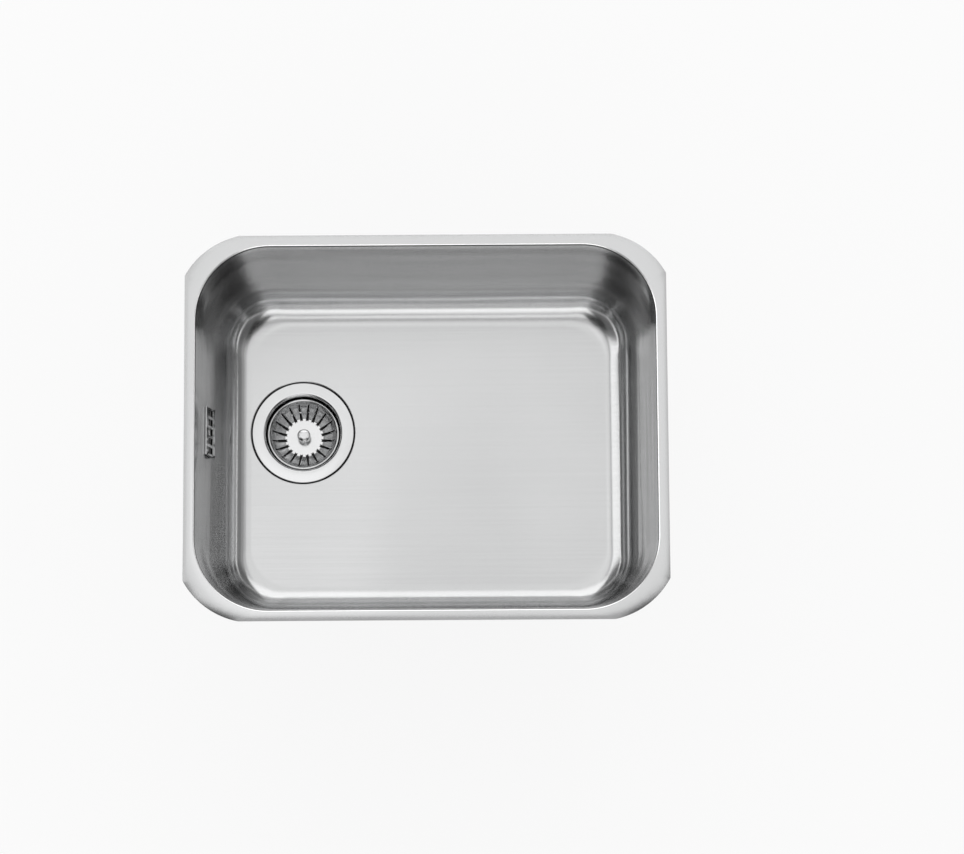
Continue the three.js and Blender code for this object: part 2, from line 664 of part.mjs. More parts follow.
function basketKnob() {
  const foot = -BASKET_FLOOR_DROP + SEAT_GAP;
  const headFoot = -KNOB_TOP_DROP - KNOB_HEAD_HEIGHT;
  const boreTop = -KNOB_TOP_DROP - KNOB_HEAD_HEIGHT / 2 + SEAT_GAP;
  const knob = revolveFromAxis([
    at(0, boreTop),
    at(stemHole, boreTop),
    at(stemHole, foot),
    at(KNOB_NECK_RADIUS + 1.6, foot),
    at(KNOB_NECK_RADIUS, foot + 2),
    at(KNOB_NECK_RADIUS, headFoot - 1.5),
    at(KNOB_RADIUS - 1, headFoot),
    at(KNOB_RADIUS, headFoot + 1.2),
    at(KNOB_RADIUS, headFoot + KNOB_HEAD_HEIGHT - 2),
    at(KNOB_RADIUS - 1.6, -KNOB_TOP_DROP - 0.5),
    at(KNOB_RADIUS / 2, -KNOB_TOP_DROP),
    at(0, -KNOB_TOP_DROP),
  ]);
  return piece('basket_knob', knob, POLISHED_STEEL);
}

// ---- Overflow, in the end wall's own frame ------------------------------------------------

function overflowCover() {
  const half = COVER_HEIGHT / 2;
  const face = (height) => THREE.MathUtils.mapLinear(
    height, -half, half, COVER_BOTTOM_PROUD, COVER_TOP_PROUD,
  );
  const side = new THREE.Shape([
    at(SEAT_GAP, -half),
    at(face(-half) - 1, -half),
    at(face(-half + 1), -half + 1),
    at(face(half - 0.8), half - 0.8),
    at(face(half) - 0.8, half),
    at(SEAT_GAP, half),
  ]);
  const wedge = extrude(side, COVER_LENGTH).rotateX(Math.PI / 2).translate(0, COVER_LENGTH / 2, 0);
  let windowed = solid(wedge);
  for (let i = 0; i < WINDOW_COUNT; i += 1) {
    const y = (i - (WINDOW_COUNT - 1) / 2) * WINDOW_PITCH;
    windowed = cut(windowed, box(0, y, 0, 4 * COVER_BOTTOM_PROUD, WINDOW_LENGTH, WINDOW_HEIGHT));
  }
  const boss = solid(screwAxis(disc(COVER_BOSS_RADIUS, -SHEET_THICKNESS, 20, SMALL_SIDES)))
    .intersect(join(solid(wedge), box(
      0, 0, 0, 2 * SHEET_THICKNESS + 0.1, COVER_LENGTH / 2, COVER_HEIGHT / 2,
    )));
  const plug = solid(box(
    face(0) / 2 + SEAT_GAP / 2, 0, WINDOW_HEIGHT / 2 - COVER_BOSS_RISE / 2,
    face(0) - SEAT_GAP, WINDOW_LENGTH, COVER_BOSS_RISE + 0.4,
  )).intersect(solid(wedge));
  const headSeat = coverHeadSeat();
  const drilled = cut(
    windowed.add(boss).add(plug),
    screwAxis(disc(COVER_SCREW_RADIUS + SEAT_GAP, -10, 20, SMALL_SIDES)),
    screwAxis(disc(COVER_SCREW_HEAD_RADIUS + SEAT_GAP, headSeat, 20, SMALL_SIDES)),
  );
  return piece('overflow_cover', geometryOf(drilled), POLISHED_STEEL);
}

// Stands a shape made on the Z axis along the cover's screw, head towards the bowl.
function screwAxis(geometry) {
  return geometry.rotateY(Math.PI / 2).translate(0, 0, COVER_BOSS_RISE);
}

const coverHeadSeat = () => COVER_TOP_PROUD - COVER_SCREW_HEAD_HEIGHT / 2;
const overflowSealBack = -SHEET_THICKNESS - SEAT_GAP - OVERFLOW_SEAL_THICKNESS;
const housingFront = overflowSealBack - SEAT_GAP;
const housingBack = housingFront - HOUSING_DEPTH;

function overflowScrew() {
  const seat = coverHeadSeat() + SEAT_GAP;
  const tip = housingFront - HOUSING_BOSS_LENGTH + 2;
  const screw = screwAxis(revolveFromAxis([
    at(0, tip),
    at(COVER_SCREW_RADIUS, tip + 2),
    at(COVER_SCREW_RADIUS, seat),
    at(COVER_SCREW_HEAD_RADIUS, seat),
    at(COVER_SCREW_HEAD_RADIUS, seat + COVER_SCREW_HEAD_HEIGHT / 2),
    at(COVER_SCREW_HEAD_RADIUS - 0.8, seat + COVER_SCREW_HEAD_HEIGHT),
    at(0, seat + COVER_SCREW_HEAD_HEIGHT),
  ], SMALL_SIDES));
  return piece('overflow_screw', screw, POLISHED_STEEL);
}

function overflowSeal() {
  const outline = roundedRectangle(
    WALL_SLOT_LENGTH + 2 * OVERFLOW_SEAL_WIDTH, WALL_SLOT_HEIGHT + 2 * OVERFLOW_SEAL_WIDTH,
    HOUSING_CORNER_RADIUS,
  );
  outline.holes.push(roundedRectangle(WALL_SLOT_LENGTH, WALL_SLOT_HEIGHT, WALL_SLOT_HEIGHT / 4));
  const seal = alongWall(outline, overflowSealBack, overflowSealBack + OVERFLOW_SEAL_THICKNESS);
  return piece('overflow_seal', seal, BLACK_RUBBER);
}

// The port runs down the wall as near to it as the nut allows, and stands proud of the housing's back.
const portAxisX = -SHEET_THICKNESS - NUT_WALL_CLEARANCE - NUT_RADIUS;
const downTheWall = (geometry) => geometry.rotateX(Math.PI).translate(portAxisX, 0, 0);
const housingPortEnd = HOUSING_HEIGHT / 2 + HOUSING_PORT_LENGTH;
const housingPortTop = HOUSING_HEIGHT / 2 - HOUSING_PORT_RISE;
const humpedPort = (radius, from, to) => downTheWall(revolveFromAxis([
  at(0, from),
  at(radius - HOUSING_PORT_CHAMFER, from),
  at(radius, from + HOUSING_PORT_CHAMFER),
  at(radius, to),
  at(0, to),
]));

function overflowHousing() {
  const wall = HOUSING_WALL;
  const shellOutline = roundedRectangle(HOUSING_LENGTH, HOUSING_HEIGHT, HOUSING_CORNER_RADIUS);
  const hollowOutline = roundedRectangle(
    HOUSING_LENGTH - 2 * wall, HOUSING_HEIGHT - 2 * wall, HOUSING_CORNER_RADIUS - wall,
  );
  const collarOutline = roundedRectangle(
    HOUSING_LENGTH + 2 * HOUSING_COLLAR, HOUSING_HEIGHT + 2 * HOUSING_COLLAR,
    HOUSING_CORNER_RADIUS + HOUSING_COLLAR,
  );
  const shell = cut(
    join(
      solid(alongWall(shellOutline, housingBack, housingFront)),
      alongWall(collarOutline, housingFront - HOUSING_COLLAR_THICKNESS, housingFront),
      humpedPort(PORT_RADIUS, housingPortTop, housingPortEnd),
    ),
    alongWall(hollowOutline, housingBack + wall, housingFront + 1),
    humpedPort(PORT_BORE_RADIUS, housingPortTop + wall, housingPortEnd + 1),
  );
  const bossFoot = housingFront - HOUSING_BOSS_LENGTH;
  const boss = join(
    solid(screwAxis(disc(HOUSING_BOSS_RADIUS, bossFoot, housingFront, SMALL_SIDES))),
    box(
      (bossFoot + housingFront) / 2, 0, (COVER_BOSS_RISE + HOUSING_HEIGHT / 2 - wall / 2) / 2,
      HOUSING_BOSS_LENGTH, wall, HOUSING_HEIGHT / 2 - wall / 2 - COVER_BOSS_RISE,
    ),
  );
  const moulded = cut(
    shell.add(boss),
    screwAxis(disc(COVER_SCREW_RADIUS + SEAT_GAP, bossFoot + 1, housingFront + 1, SMALL_SIDES)),
  );
  return piece('overflow_housing', geometryOf(moulded), WHITE_PLASTIC);
}

// ---- Hose and its unions ------------------------------------------------------------------

// A union's frame has its origin in the port's end face and +Z out of the port.
function unionFrame(parentMatrix, position, direction) {
  const frame = new THREE.Group();
  frame.position.copy(position).applyMatrix4(parentMatrix);
  const outwards = direction.clone().transformDirection(parentMatrix);
  frame.quaternion.setFromUnitVectors(new THREE.Vector3(0, 0, 1), outwards);
  frame.updateMatrix();
  return frame;
}

const collarFoot = UNION_WASHER_THICKNESS + 2 * SEAT_GAP;
const collarRadius = PORT_RADIUS - SEAT_GAP;

function unionWasher(name) {
  const washer = ring(
    PORT_BORE_RADIUS, collarRadius, SEAT_GAP, SEAT_GAP + UNION_WASHER_THICKNESS,
  );
  return piece(name, washer, BLACK_RUBBER);
}

function unionNut(name) {
  const lipFoot = collarFoot + HOSE_COLLAR_THICKNESS + SEAT_GAP;
  const nut = revolve([
    at(PORT_RADIUS + SEAT_GAP, -NUT_GRIP),
    at(NUT_RADIUS, -NUT_GRIP),
    at(NUT_RADIUS, lipFoot + NUT_LIP - 1.5),
    at(NUT_RADIUS - 1.5, lipFoot + NUT_LIP),
    at(HOSE_RADIUS + SEAT_GAP, lipFoot + NUT_LIP),
    at(HOSE_RADIUS + SEAT_GAP, lipFoot),
    at(PORT_RADIUS + SEAT_GAP, lipFoot),
  ]);
  let lobed = solid(nut);
  for (let i = 0; i < NUT_LOBES; i += 1) {
    const groove = new THREE.CylinderGeometry(NUT_LOBE_RADIUS, NUT_LOBE_RADIUS, 60, 6)
      .rotateX(Math.PI / 2)
      .translate(NUT_RADIUS + NUT_LOBE_RADIUS / 3, 0, 0)
      .rotateZ(Math.PI * 2 * i / NUT_LOBES);
    lobed = cut(lobed, groove);
  }
  return piece(name, geometryOf(lobed), GREY_PLASTIC);
}

// A hose with ribs outside and a plain bore: rings of points along a curve, closed at both ends.
function ribbedHose(curve) {
  const length = curve.getLength();
  const ribCount = Math.floor((length - 2 * HOSE_CUFF_LENGTH) / HOSE_RIB_PITCH);
  const ribStart = (length - ribCount * HOSE_RIB_PITCH) / 2;
  const skin = [
    [0, collarRadius], [HOSE_COLLAR_THICKNESS, collarRadius], [HOSE_COLLAR_THICKNESS, HOSE_RADIUS],
  ];
  for (let i = 0; i < ribCount; i += 1) {
    skin.push([ribStart + i * HOSE_RIB_PITCH, HOSE_RADIUS - HOSE_VALLEY_DEPTH]);
    skin.push([ribStart + (i + 0.5) * HOSE_RIB_PITCH, HOSE_RADIUS]);
  }
  skin.splice(3, 1, [ribStart - HOSE_RIB_PITCH / 2, HOSE_RADIUS], skin[3]);
  skin.push(
    [length - ribStart, HOSE_RADIUS - HOSE_VALLEY_DEPTH],
    [length - ribStart + HOSE_RIB_PITCH / 2, HOSE_RADIUS],
    [length - HOSE_COLLAR_THICKNESS, HOSE_RADIUS],
    [length - HOSE_COLLAR_THICKNESS, collarRadius],
    [length, collarRadius],
  );
  const boreRings = Math.ceil(ribCount / RIBS_PER_BORE_RING) * 2;
  const bore = Array.from(
    { length: boreRings + 1 }, (_, i) => [length * (1 - i / boreRings), HOSE_BORE_RADIUS],
  );
  const side = curve.getTangentAt(0).cross(curve.getTangentAt(1)).normalize();
  const rings = [...skin, ...bore].map(([distance, radius]) => {
    const along = distance / length;
    const centre = curve.getPointAt(along);
    const across = new THREE.Vector3().crossVectors(side, curve.getTangentAt(along)).normalize();
    const upright = new THREE.Vector3().crossVectors(curve.getTangentAt(along), across);
    return Array.from({ length: HOSE_SIDES }, (_, i) => {
      const angle = Math.PI * 2 * i / HOSE_SIDES;
      return centre.clone()
        .addScaledVector(across, radius * Math.cos(angle))
        .addScaledVector(upright, radius * Math.sin(angle));
    });
  });
  const faces = [];
  rings.forEach((_, level) => {
    const above = (level + 1) % rings.length;
    for (let i = 0; i < HOSE_SIDES; i += 1) {
      const next = (i + 1) % HOSE_SIDES;
      const [a, b] = [level * HOSE_SIDES + i, level * HOSE_SIDES + next];
      const [c, d] = [above * HOSE_SIDES + next, above * HOSE_SIDES + i];
      faces.push(a, b, c, a, c, d);
    }
  });
  const geometry = new THREE.BufferGeometry().setFromPoints(rings.flat());
  geometry.setIndex(faces);
  return geometry;
}

// The hose leaves both ports straight, then bends in one sweep.
function hoseCurve(upper, lower) {
  const along = (frame, distance) => new THREE.Vector3(0, 0, distance).applyMatrix4(frame.matrix);
  const straight = collarFoot + HOSE_CUFF_LENGTH;
  const path = new THREE.CurvePath();
  path.add(new THREE.LineCurve3(along(upper, collarFoot), along(upper, straight)));
  path.add(new THREE.CubicBezierCurve3(
    along(upper, straight),
    along(upper, straight + HOSE_BEND_PULL),
    along(lower, straight + HOSE_BEND_PULL),
    along(lower, straight),
  ));
  path.add(new THREE.LineCurve3(along(lower, straight), along(lower, collarFoot)));
  return path;
}

// ---- Assembly -----------------------------------------------------------------------------

const sink = new THREE.Group();
sink.add(bowl(), soundPad());

const waste = new THREE.Group();
waste.position.set(drainX, DRAIN_Y, -BOWL_DEPTH);
waste.updateMatrix();
waste.add(flangeSeal(), strainerFlange(), bodySeal(), wasteBody());
waste.add(clampInsert(), clampWasher(), clampScrew());

const basket = new THREE.Group();
basket.add(plugSeal(), sealCarrier(), basketStem(), basketCup(), basketKnob());
waste.add(basket);
sink.add(waste);

overflowFrame.add(overflowCover(), overflowScrew(), overflowSeal(), overflowHousing());
sink.add(overflowFrame);

const upperUnion = unionFrame(
  overflowFrame.matrix, new THREE.Vector3(portAxisX, 0, -housingPortEnd), new THREE.Vector3(0, 0, -1),
);
upperUnion.add(unionWasher('hose_washer_upper'), unionNut('hose_nut_upper'));
const portRise = radians(BODY_PORT_RISE_DEG);
const portDirection = new THREE.Vector3(-Math.cos(portRise), 0, Math.sin(portRise));
const lowerUnion = unionFrame(
  waste.matrix,
  new THREE.Vector3(-BODY_RADIUS, 0, -BODY_PORT_DROP).addScaledVector(portDirection, BODY_PORT_LENGTH),
  portDirection,
);
lowerUnion.add(unionWasher('hose_washer_lower'), unionNut('hose_nut_lower'));
sink.add(upperUnion, lowerUnion);
sink.add(piece('overflow_hose', ribbedHose(hoseCurve(upperUnion, lowerUnion)), WHITE_PLASTIC));

export default sink;
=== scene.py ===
"""Fine surfaces, finishes, studio and camera for an undermount kitchen sink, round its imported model."""

import math

import bmesh
import bpy
from mathutils import Matrix, Vector


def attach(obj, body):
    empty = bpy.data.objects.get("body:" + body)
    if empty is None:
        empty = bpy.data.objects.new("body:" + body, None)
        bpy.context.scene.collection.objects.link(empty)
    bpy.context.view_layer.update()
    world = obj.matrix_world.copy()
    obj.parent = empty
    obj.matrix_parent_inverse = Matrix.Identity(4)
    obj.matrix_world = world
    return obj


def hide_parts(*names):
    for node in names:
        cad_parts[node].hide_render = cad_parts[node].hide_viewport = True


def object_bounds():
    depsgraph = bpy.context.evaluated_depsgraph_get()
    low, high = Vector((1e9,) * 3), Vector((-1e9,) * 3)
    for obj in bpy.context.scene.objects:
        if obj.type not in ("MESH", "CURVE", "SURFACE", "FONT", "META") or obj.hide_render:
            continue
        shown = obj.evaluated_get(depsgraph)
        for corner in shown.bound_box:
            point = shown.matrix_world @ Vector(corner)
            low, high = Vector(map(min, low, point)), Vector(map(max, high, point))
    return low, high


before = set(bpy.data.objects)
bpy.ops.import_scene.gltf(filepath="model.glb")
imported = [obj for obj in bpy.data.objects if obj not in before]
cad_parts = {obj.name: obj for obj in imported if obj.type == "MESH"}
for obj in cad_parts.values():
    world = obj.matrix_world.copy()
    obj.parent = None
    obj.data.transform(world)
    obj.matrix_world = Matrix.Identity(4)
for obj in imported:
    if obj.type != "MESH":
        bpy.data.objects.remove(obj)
cad_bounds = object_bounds()

# ---- Sizes in millimetres, as the frame's pieces have them ----

MM = 0.001
SEAT_GAP = 0.3

OPENING_LENGTH = 500
OPENING_WIDTH = 400
OPENING_CORNER_RADIUS = 80
BOWL_DEPTH = 180
SHEET = 1
WALL_DRAFT = math.radians(8.5)
FLOOR_BEND = 30
FLOOR_CORNER_OPENING = 0.6
RIM_ROLL = 2
RIM_WIDTH = 12
RIM_CORNER_RADIUS = 88
RIM_CORNER_FROM_END = 77.5
RIM_CORNER_FROM_SIDE = 86.2

DRAIN_CENTRE = (-141, 26)
DRAIN_HOLE_RADIUS = 45
RECESS_RADIUS = 58.2
RECESS_DEPTH = 3.5
RECESS_BEND = 1.4

STRAINER_RING_RADIUS = 57
STRAINER_RING_THICKNESS = 1.4
STRAINER_SHEET = 1.1
THROAT_RADIUS = 42.2
THROAT_BEND = 3.2
THROAT_DEPTH = 31
THROAT_FOOT_BEND = 4
CUP_DEPTH = 42
CUP_FLOOR_RADIUS = 32.5
CUP_FLOOR_BEND = 2.5
OUTLET_SECTOR_RADIUS = 26
OUTLET_HUB_RADIUS = 8
OUTLET_SPOKES = 4
OUTLET_SPOKE_WIDTH = 5
SCREW_HOLE_RADIUS = 3.4

BASKET_LIP_RADIUS = 40.4
BASKET_LIP_DROP = 8.6
BASKET_LIP_WIDTH = 2.6
BASKET_SHEET = 0.9
BASKET_SHOULDER_RADIUS = 36.4
BASKET_SHOULDER_DROP = 14
BASKET_WAIST_RADIUS = 33
BASKET_WAIST_DROP = 20.8
BASKET_WAIST_BEND = 3
BASKET_FOOT_RADIUS = 21.9
BASKET_FOOT_BEND = 1.6
BASKET_FLOOR_DROP = 32
SLOT_COUNT = 20
SLOT_WIDTH = 1.6
SLOT_TOP_RADIUS = 35.35
SLOT_TOP_DROP = 15.5
SLOT_FOOT_WIDTH = 3
SLOT_FOOT_RADIUS = 24.6
SLOT_INNER_RADIUS = 20.2
KNOB_RADIUS = 7.4
KNOB_NECK_RADIUS = 4.2
KNOB_HEAD_HEIGHT = 5.6
KNOB_TOP_DROP = 16
STEM_RADIUS = 2.5
STEM_HOLE_RADIUS = 2.85
PIN_TOP = -18.8
PIN_FLANGE_TOP = -36.1
PIN_FLANGE_RADIUS = 5.4
PIN_FOOT = -37.4
PLUG_RADIUS = 30.5
PLUG_HUB_RADIUS = 10
PLUG_SOCKET_RADIUS = 7.4
PLUG_TOP = -33.2
PLUG_SKIRT_TOP = -38.3
PLUG_FOOT = -41.7

OVERFLOW_CENTRE = (-240.54, 6, -65)
COVER_LENGTH = 53.5
COVER_HEIGHT = 26.5
COVER_SHEET = 0.9
COVER_TOP_PROUD = 1.8
COVER_BOTTOM_PROUD = 5.6
WINDOW_COUNT = 5
WINDOW_PITCH = 10.4
WINDOW_LENGTH = 7
WINDOW_HEIGHT = 14
WALL_SLOT_LENGTH = 48
WALL_SLOT_HEIGHT = 17
BRIDGE_HEIGHT = 3.4
BRIDGE_TOP = WINDOW_HEIGHT / 2 + 0.2
SCREW_RISE = 3
SCREW_BORE_RADIUS = 2.1
SCREW_BOSS_RADIUS = 3.4
HOUSING_PORT_X = -16.2
HOUSING_PORT_END = -35

BODY_RADIUS = 49.5
BODY_WALL = 3
BODY_COLLAR_RADIUS = 56
BODY_TOP = -8.1
BODY_COLLAR_FOOT = -12.1
BODY_CHAMBER_FOOT = -64
BODY_CONE_FOOT = -78
BODY_FOOT = -101
OUTLET_RADIUS = 23.9
OUTLET_BORE_RADIUS = 19.9
THREAD_PITCH = 2.3
THREAD_DEPTH = 1
RIB_TOP = (48, -61)
RIB_FOOT = (37.5, -69)
RIB_WIDTH = 3
BODY_PORT_DROP = 46
BODY_PORT_LENGTH = 25
BODY_PORT_RISE = math.radians(40)

PORT_RADIUS = 11.5
PORT_BORE_RADIUS = 8.5
PORT_ROOT = -5
NUT_RADIUS = 14.6
NUT_FOOT = -10
NUT_TOP = 7.3
NUT_LIP_FOOT = 4.9
NUT_LOBES = 12
NUT_LOBE_DEPTH = 1.1
HOSE_START = 2.6
HOSE_COLLAR = 2
HOSE_COLLAR_RADIUS = 11.2
HOSE_STRAIGHT = 18.6
HOSE_BEND_PULL = 26
HOSE_RADIUS = 10.4
HOSE_VALLEY = 1.5
HOSE_BORE_RADIUS = 7.4
HOSE_RIB_PITCH = 4.6
HOSE_STEPS = 200

# ---- Frames of the sub-assemblies ----

waste_frame = Matrix.Translation((*DRAIN_CENTRE, -BOWL_DEPTH))
overflow_frame = Matrix.Translation(OVERFLOW_CENTRE) @ Matrix.Rotation(-WALL_DRAFT, 4, "Y")
upright = Matrix.Identity(4)
along_screw = Matrix.Translation((0, 0, SCREW_RISE)) @ Matrix.Rotation(math.pi / 2, 4, "Y")
upper_union = (
    overflow_frame @ Matrix.Translation((HOUSING_PORT_X, 0, HOUSING_PORT_END))
    @ Matrix.Rotation(math.pi, 4, "X")
)
towards_end_wall = (
    waste_frame @ Matrix.Translation((-BODY_RADIUS, 0, -BODY_PORT_DROP))
    @ Matrix.Rotation(BODY_PORT_RISE - math.pi / 2, 4, "Y")
)
lower_union = towards_end_wall @ Matrix.Translation((0, 0, BODY_PORT_LENGTH))

# ---- Material building blocks ----


class Finish:
    """A Principled material whose patterns read Object coordinates."""

    def __init__(self, name, metallic=0.0, roughness=0.5, **constants):
        self.material = bpy.data.materials.new(name)
        self.material.use_nodes = True
        self.tree = self.material.node_tree
        self.shader = self.tree.nodes["Principled BSDF"]
        self.shader.inputs["Metallic"].default_value = metallic
        self.shader.inputs["Roughness"].default_value = roughness
        for socket, value in constants.items():
            self.shader.inputs[socket.replace("_", " ")].default_value = value
        self.coordinates = self.node("TexCoord").outputs["Object"]

    def node(self, kind):
        return self.tree.nodes.new("ShaderNode" + kind)

    def link(self, source, target):
        self.tree.links.new(source, target)

    def noise(self, scale, detail=3.0, rough=0.5):
        mapping = self.node("Mapping")
        self.link(self.coordinates, mapping.inputs["Vector"])
        mapping.inputs["Scale"].default_value = scale
        texture = self.node("TexNoise")
        self.link(mapping.outputs["Vector"], texture.inputs["Vector"])
        texture.inputs["Scale"].default_value = 1.0
        texture.inputs["Detail"].default_value = detail
        texture.inputs["Roughness"].default_value = rough
        return texture.outputs["Fac"]

    def pebbles(self, scale):
        texture = self.node("TexVoronoi")
        self.link(self.coordinates, texture.inputs["Vector"])
        texture.inputs["Scale"].default_value = scale
        return texture.outputs["Distance"]

    def height_blend(self, lower, upper):
        """0 at and below one height in millimetres from the rim, 1 at and above the other."""
        split = self.node("SeparateXYZ")
        self.link(self.coordinates, split.inputs["Vector"])
        return self.spread(split.outputs["Z"], 0.0, 1.0, lower * MM, upper * MM)

    def height_band(self, bottom, top, feather, full=1.0):
        """A share between two heights in millimetres from the rim, and 0 beyond them."""
        node = self.node("Math")
        node.operation = "MULTIPLY"
        self.link(self.height_blend(bottom - feather, bottom), node.inputs[0])
        self.link(self.height_blend(top + feather, top), node.inputs[1])
        return self.spread(node.outputs[0], 0.0, full, 0.0, 1.0)

    def spread(self, source, low, high, source_low=0.3, source_high=0.7):
        """Maps a pattern's usual span onto a range of values."""
        node = self.node("MapRange")
        self.link(source, node.inputs["Value"])
        node.inputs["From Min"].default_value = source_low
        node.inputs["From Max"].default_value = source_high
        node.inputs["To Min"].default_value = low
        node.inputs["To Max"].default_value = high
        return node.outputs["Result"]

    def mixed(self, share, first, second):
        node = self.node("Mix")
        self.link(share, node.inputs["Factor"])
        self.link(first, node.inputs["A"])
        self.link(second, node.inputs["B"])
        return node.outputs["Result"]

    def tones(self, source, dark, light, *overlays):
        """Colours a pattern between two tones, then lays other tones over it by their shares."""
        result = self.colour_mix(source, dark, light)
        for share, tone in overlays:
            result = self.colour_mix(share, result, tone)
        self.link(result, self.shader.inputs["Base Color"])

    def colour_mix(self, share, *colours):
        node = self.node("Mix")
        node.data_type = "RGBA"
        self.link(share, node.inputs["Factor"])
        sockets = [socket for socket in node.inputs if socket.type == "RGBA"]
        for socket, colour in zip(sockets, colours):
            if isinstance(colour, tuple):
                socket.default_value = (*colour, 1.0)
            else:
                self.link(colour, socket)
        return [socket for socket in node.outputs if socket.type == "RGBA"][0]

    def clouded(self, scale, dark, light, smooth, rough, detail=3.0):
        """Lets tone and roughness drift together over even clouds."""
        clouds = self.noise((scale, scale, scale), detail)
        self.tones(clouds, dark, light)
        self.link(self.spread(clouds, smooth, rough), self.shader.inputs["Roughness"])

    def relief(self, height, depth_mm, strength=1.0):
        """Raises the surface by a pattern; reliefs stack in the order they are added."""
        node = self.node("Bump")
        node.inputs["Strength"].default_value = strength
        node.inputs["Distance"].default_value = depth_mm * MM
        self.link(height, node.inputs["Height"])
        links = self.shader.inputs["Normal"].links
        if links:
            self.link(links[0].from_socket, node.inputs["Normal"])
        self.link(node.outputs["Normal"], self.shader.inputs["Normal"])


def grey(value, warmth=0.0):
    return (value + warmth, value, value - warmth)


def brushed_steel():
    """Satin-polished sheet: fine lines round the walls and along the floor, over the press's waves."""
    steel = Finish("brushed_steel", metallic=1.0, Anisotropic=0.7)
    wall_lines = steel.noise((2.5, 2.5, 900.0), detail=5.0, rough=0.65)
    floor_lines = steel.noise((4.0, 700.0, 2.0), detail=5.0, rough=0.65)
    floor, bend_top = -BOWL_DEPTH, FLOOR_BEND - BOWL_DEPTH
    on_the_wall = steel.height_blend(floor, bend_top)
    lines = steel.mixed(on_the_wall, floor_lines, wall_lines)
    clouds = steel.noise((5.0, 4.0, 6.0), detail=2.0)
    # Painted shade darkens the walls, and a painted dark reflection draws a black line under the
    # rolled edge. Painted highlights brighten the edge itself and the top of the floor bend.
    painted_wall_shade = steel.height_band(bottom=-135, top=-14, feather=22, full=0.75)
    painted_dark_line_under_roll = steel.height_band(bottom=-3.4, top=-1.2, feather=0.8)
    painted_highlight_on_edge = steel.height_band(bottom=-0.9, top=-0.2, feather=0.2)
    painted_highlight_at_bend = steel.height_band(bottom=-151.5, top=-149.5, feather=1.0, full=0.3)
    steel.tones(
        clouds, grey(0.58, -0.003), grey(0.70, -0.003),
        (painted_wall_shade, grey(0.25)),
        (painted_dark_line_under_roll, grey(0.05)),
        (steel.height_blend(-1.0, -0.2), grey(0.66, -0.003)),
        (painted_highlight_on_edge, grey(0.97)),
        (painted_highlight_at_bend, grey(0.75)),
    )
    floor_gloss = steel.spread(floor_lines, 0.17, 0.23)
    wall_gloss = steel.spread(wall_lines, 0.11, 0.17)
    # Gloss spreads across the lines: front to back on the floor, up and down on the walls.
    across = steel.node("CombineXYZ")
    steel.link(steel.height_blend(bend_top, floor), across.inputs["Y"])
    steel.link(on_the_wall, across.inputs["Z"])
    steel.link(across.outputs["Vector"], steel.shader.inputs["Tangent"])
    gloss = steel.mixed(on_the_wall, floor_gloss, wall_gloss)
    steel.link(gloss, steel.shader.inputs["Roughness"])
    steel.relief(steel.noise((2.0, 2.0, 20.0), detail=1.5), 3.0)
    steel.relief(steel.noise((5.0, 4.0, 3.0), detail=1.0), 0.5)
    steel.relief(lines, 0.02, 0.5)
    return steel.material


def polished_steel(name, tone, gloss):
    """Waste parts: their turned lines are too fine to see, and the tone is nearly even."""
    steel = Finish(name, metallic=1.0)
    dark, light = grey(tone, -0.003), grey(tone + 0.06, -0.003)
    steel.clouded(60.0, dark, light, gloss, gloss + 0.06, detail=2.0)
    steel.relief(steel.noise((900.0, 900.0, 900.0)), 0.002, 0.3)
    return steel.material


def chrome():
    """Bright plated cover."""
    plating = Finish("chrome_plating", metallic=1.0)
    plating.clouded(120.0, grey(0.70, -0.004), grey(0.76, -0.004), 0.05, 0.10, detail=2.0)
    return plating.material


def rubber():
    black = Finish("black_rubber")
    black.clouded(90.0, grey(0.012), grey(0.026), 0.62, 0.80, detail=4.0)
    black.relief(black.noise((1400.0, 1400.0, 1400.0)), 0.02, 0.5)
    return black.material


def moulded_plastic(name, dark, light, roughness):
    plastic = Finish(name, IOR=1.49)
    plastic.clouded(25.0, dark, light, roughness, roughness + 0.10)
    plastic.relief(plastic.noise((800.0, 800.0, 800.0), detail=2.0), 0.02, 0.35)
    return plastic.material


def brass():
    metal = Finish("turned_brass", metallic=1.0)
    metal.clouded(150.0, (0.60, 0.42, 0.17), (0.74, 0.55, 0.25), 0.24, 0.36)
    return metal.material


def damping_pad():
    """Bitumen sheet with a pebbled skin."""
    pad = Finish("damping_pad")
    pad.clouded(40.0, grey(0.055), grey(0.085), 0.80, 0.92)
    pad.relief(pad.pebbles(420.0), 0.3, 0.6)
    return pad.material


# Each finish is a slot's name, which the pieces don't use, and its material.
BRUSHED = ("bowl_steel", brushed_steel())
POLISHED = ("strainer_steel", polished_steel("polished_steel", 0.69, 0.10))
TUMBLED = ("strainer_steel", polished_steel("tumbled_steel", 0.75, 0.12))
CHROME = ("cover_chrome", chrome())
RUBBER = ("rubber", rubber())
WHITE_PLASTIC = (
    "white_plastic", moulded_plastic("white_plastic", grey(0.74, 0.01), grey(0.80, 0.01), 0.38),
)
GREY_PLASTIC = (
    "grey_plastic", moulded_plastic("grey_plastic", grey(0.24, -0.004), grey(0.29, -0.004), 0.42),
)
BRASS = ("brass", brass())
PAD = ("pad", damping_pad())
# Near-black painted shade for the overflow cover's inside, so that its windows read dark.
PAINTED_SHADE_INSIDE = moulded_plastic("cover_inside_painted_shade", grey(0.012), grey(0.02), 0.5)

# ---- Modelling helpers ----


def arc(centre, radius, start_deg, end_deg, steps):
    """Points of an arc in a profile, both ends included."""
    angles = [
        math.radians(start_deg + (end_deg - start_deg) * step / steps) for step in range(steps + 1)
    ]
    return [
        (centre[0] + radius * math.cos(angle), centre[1] + radius * math.sin(angle))
        for angle in angles
    ]


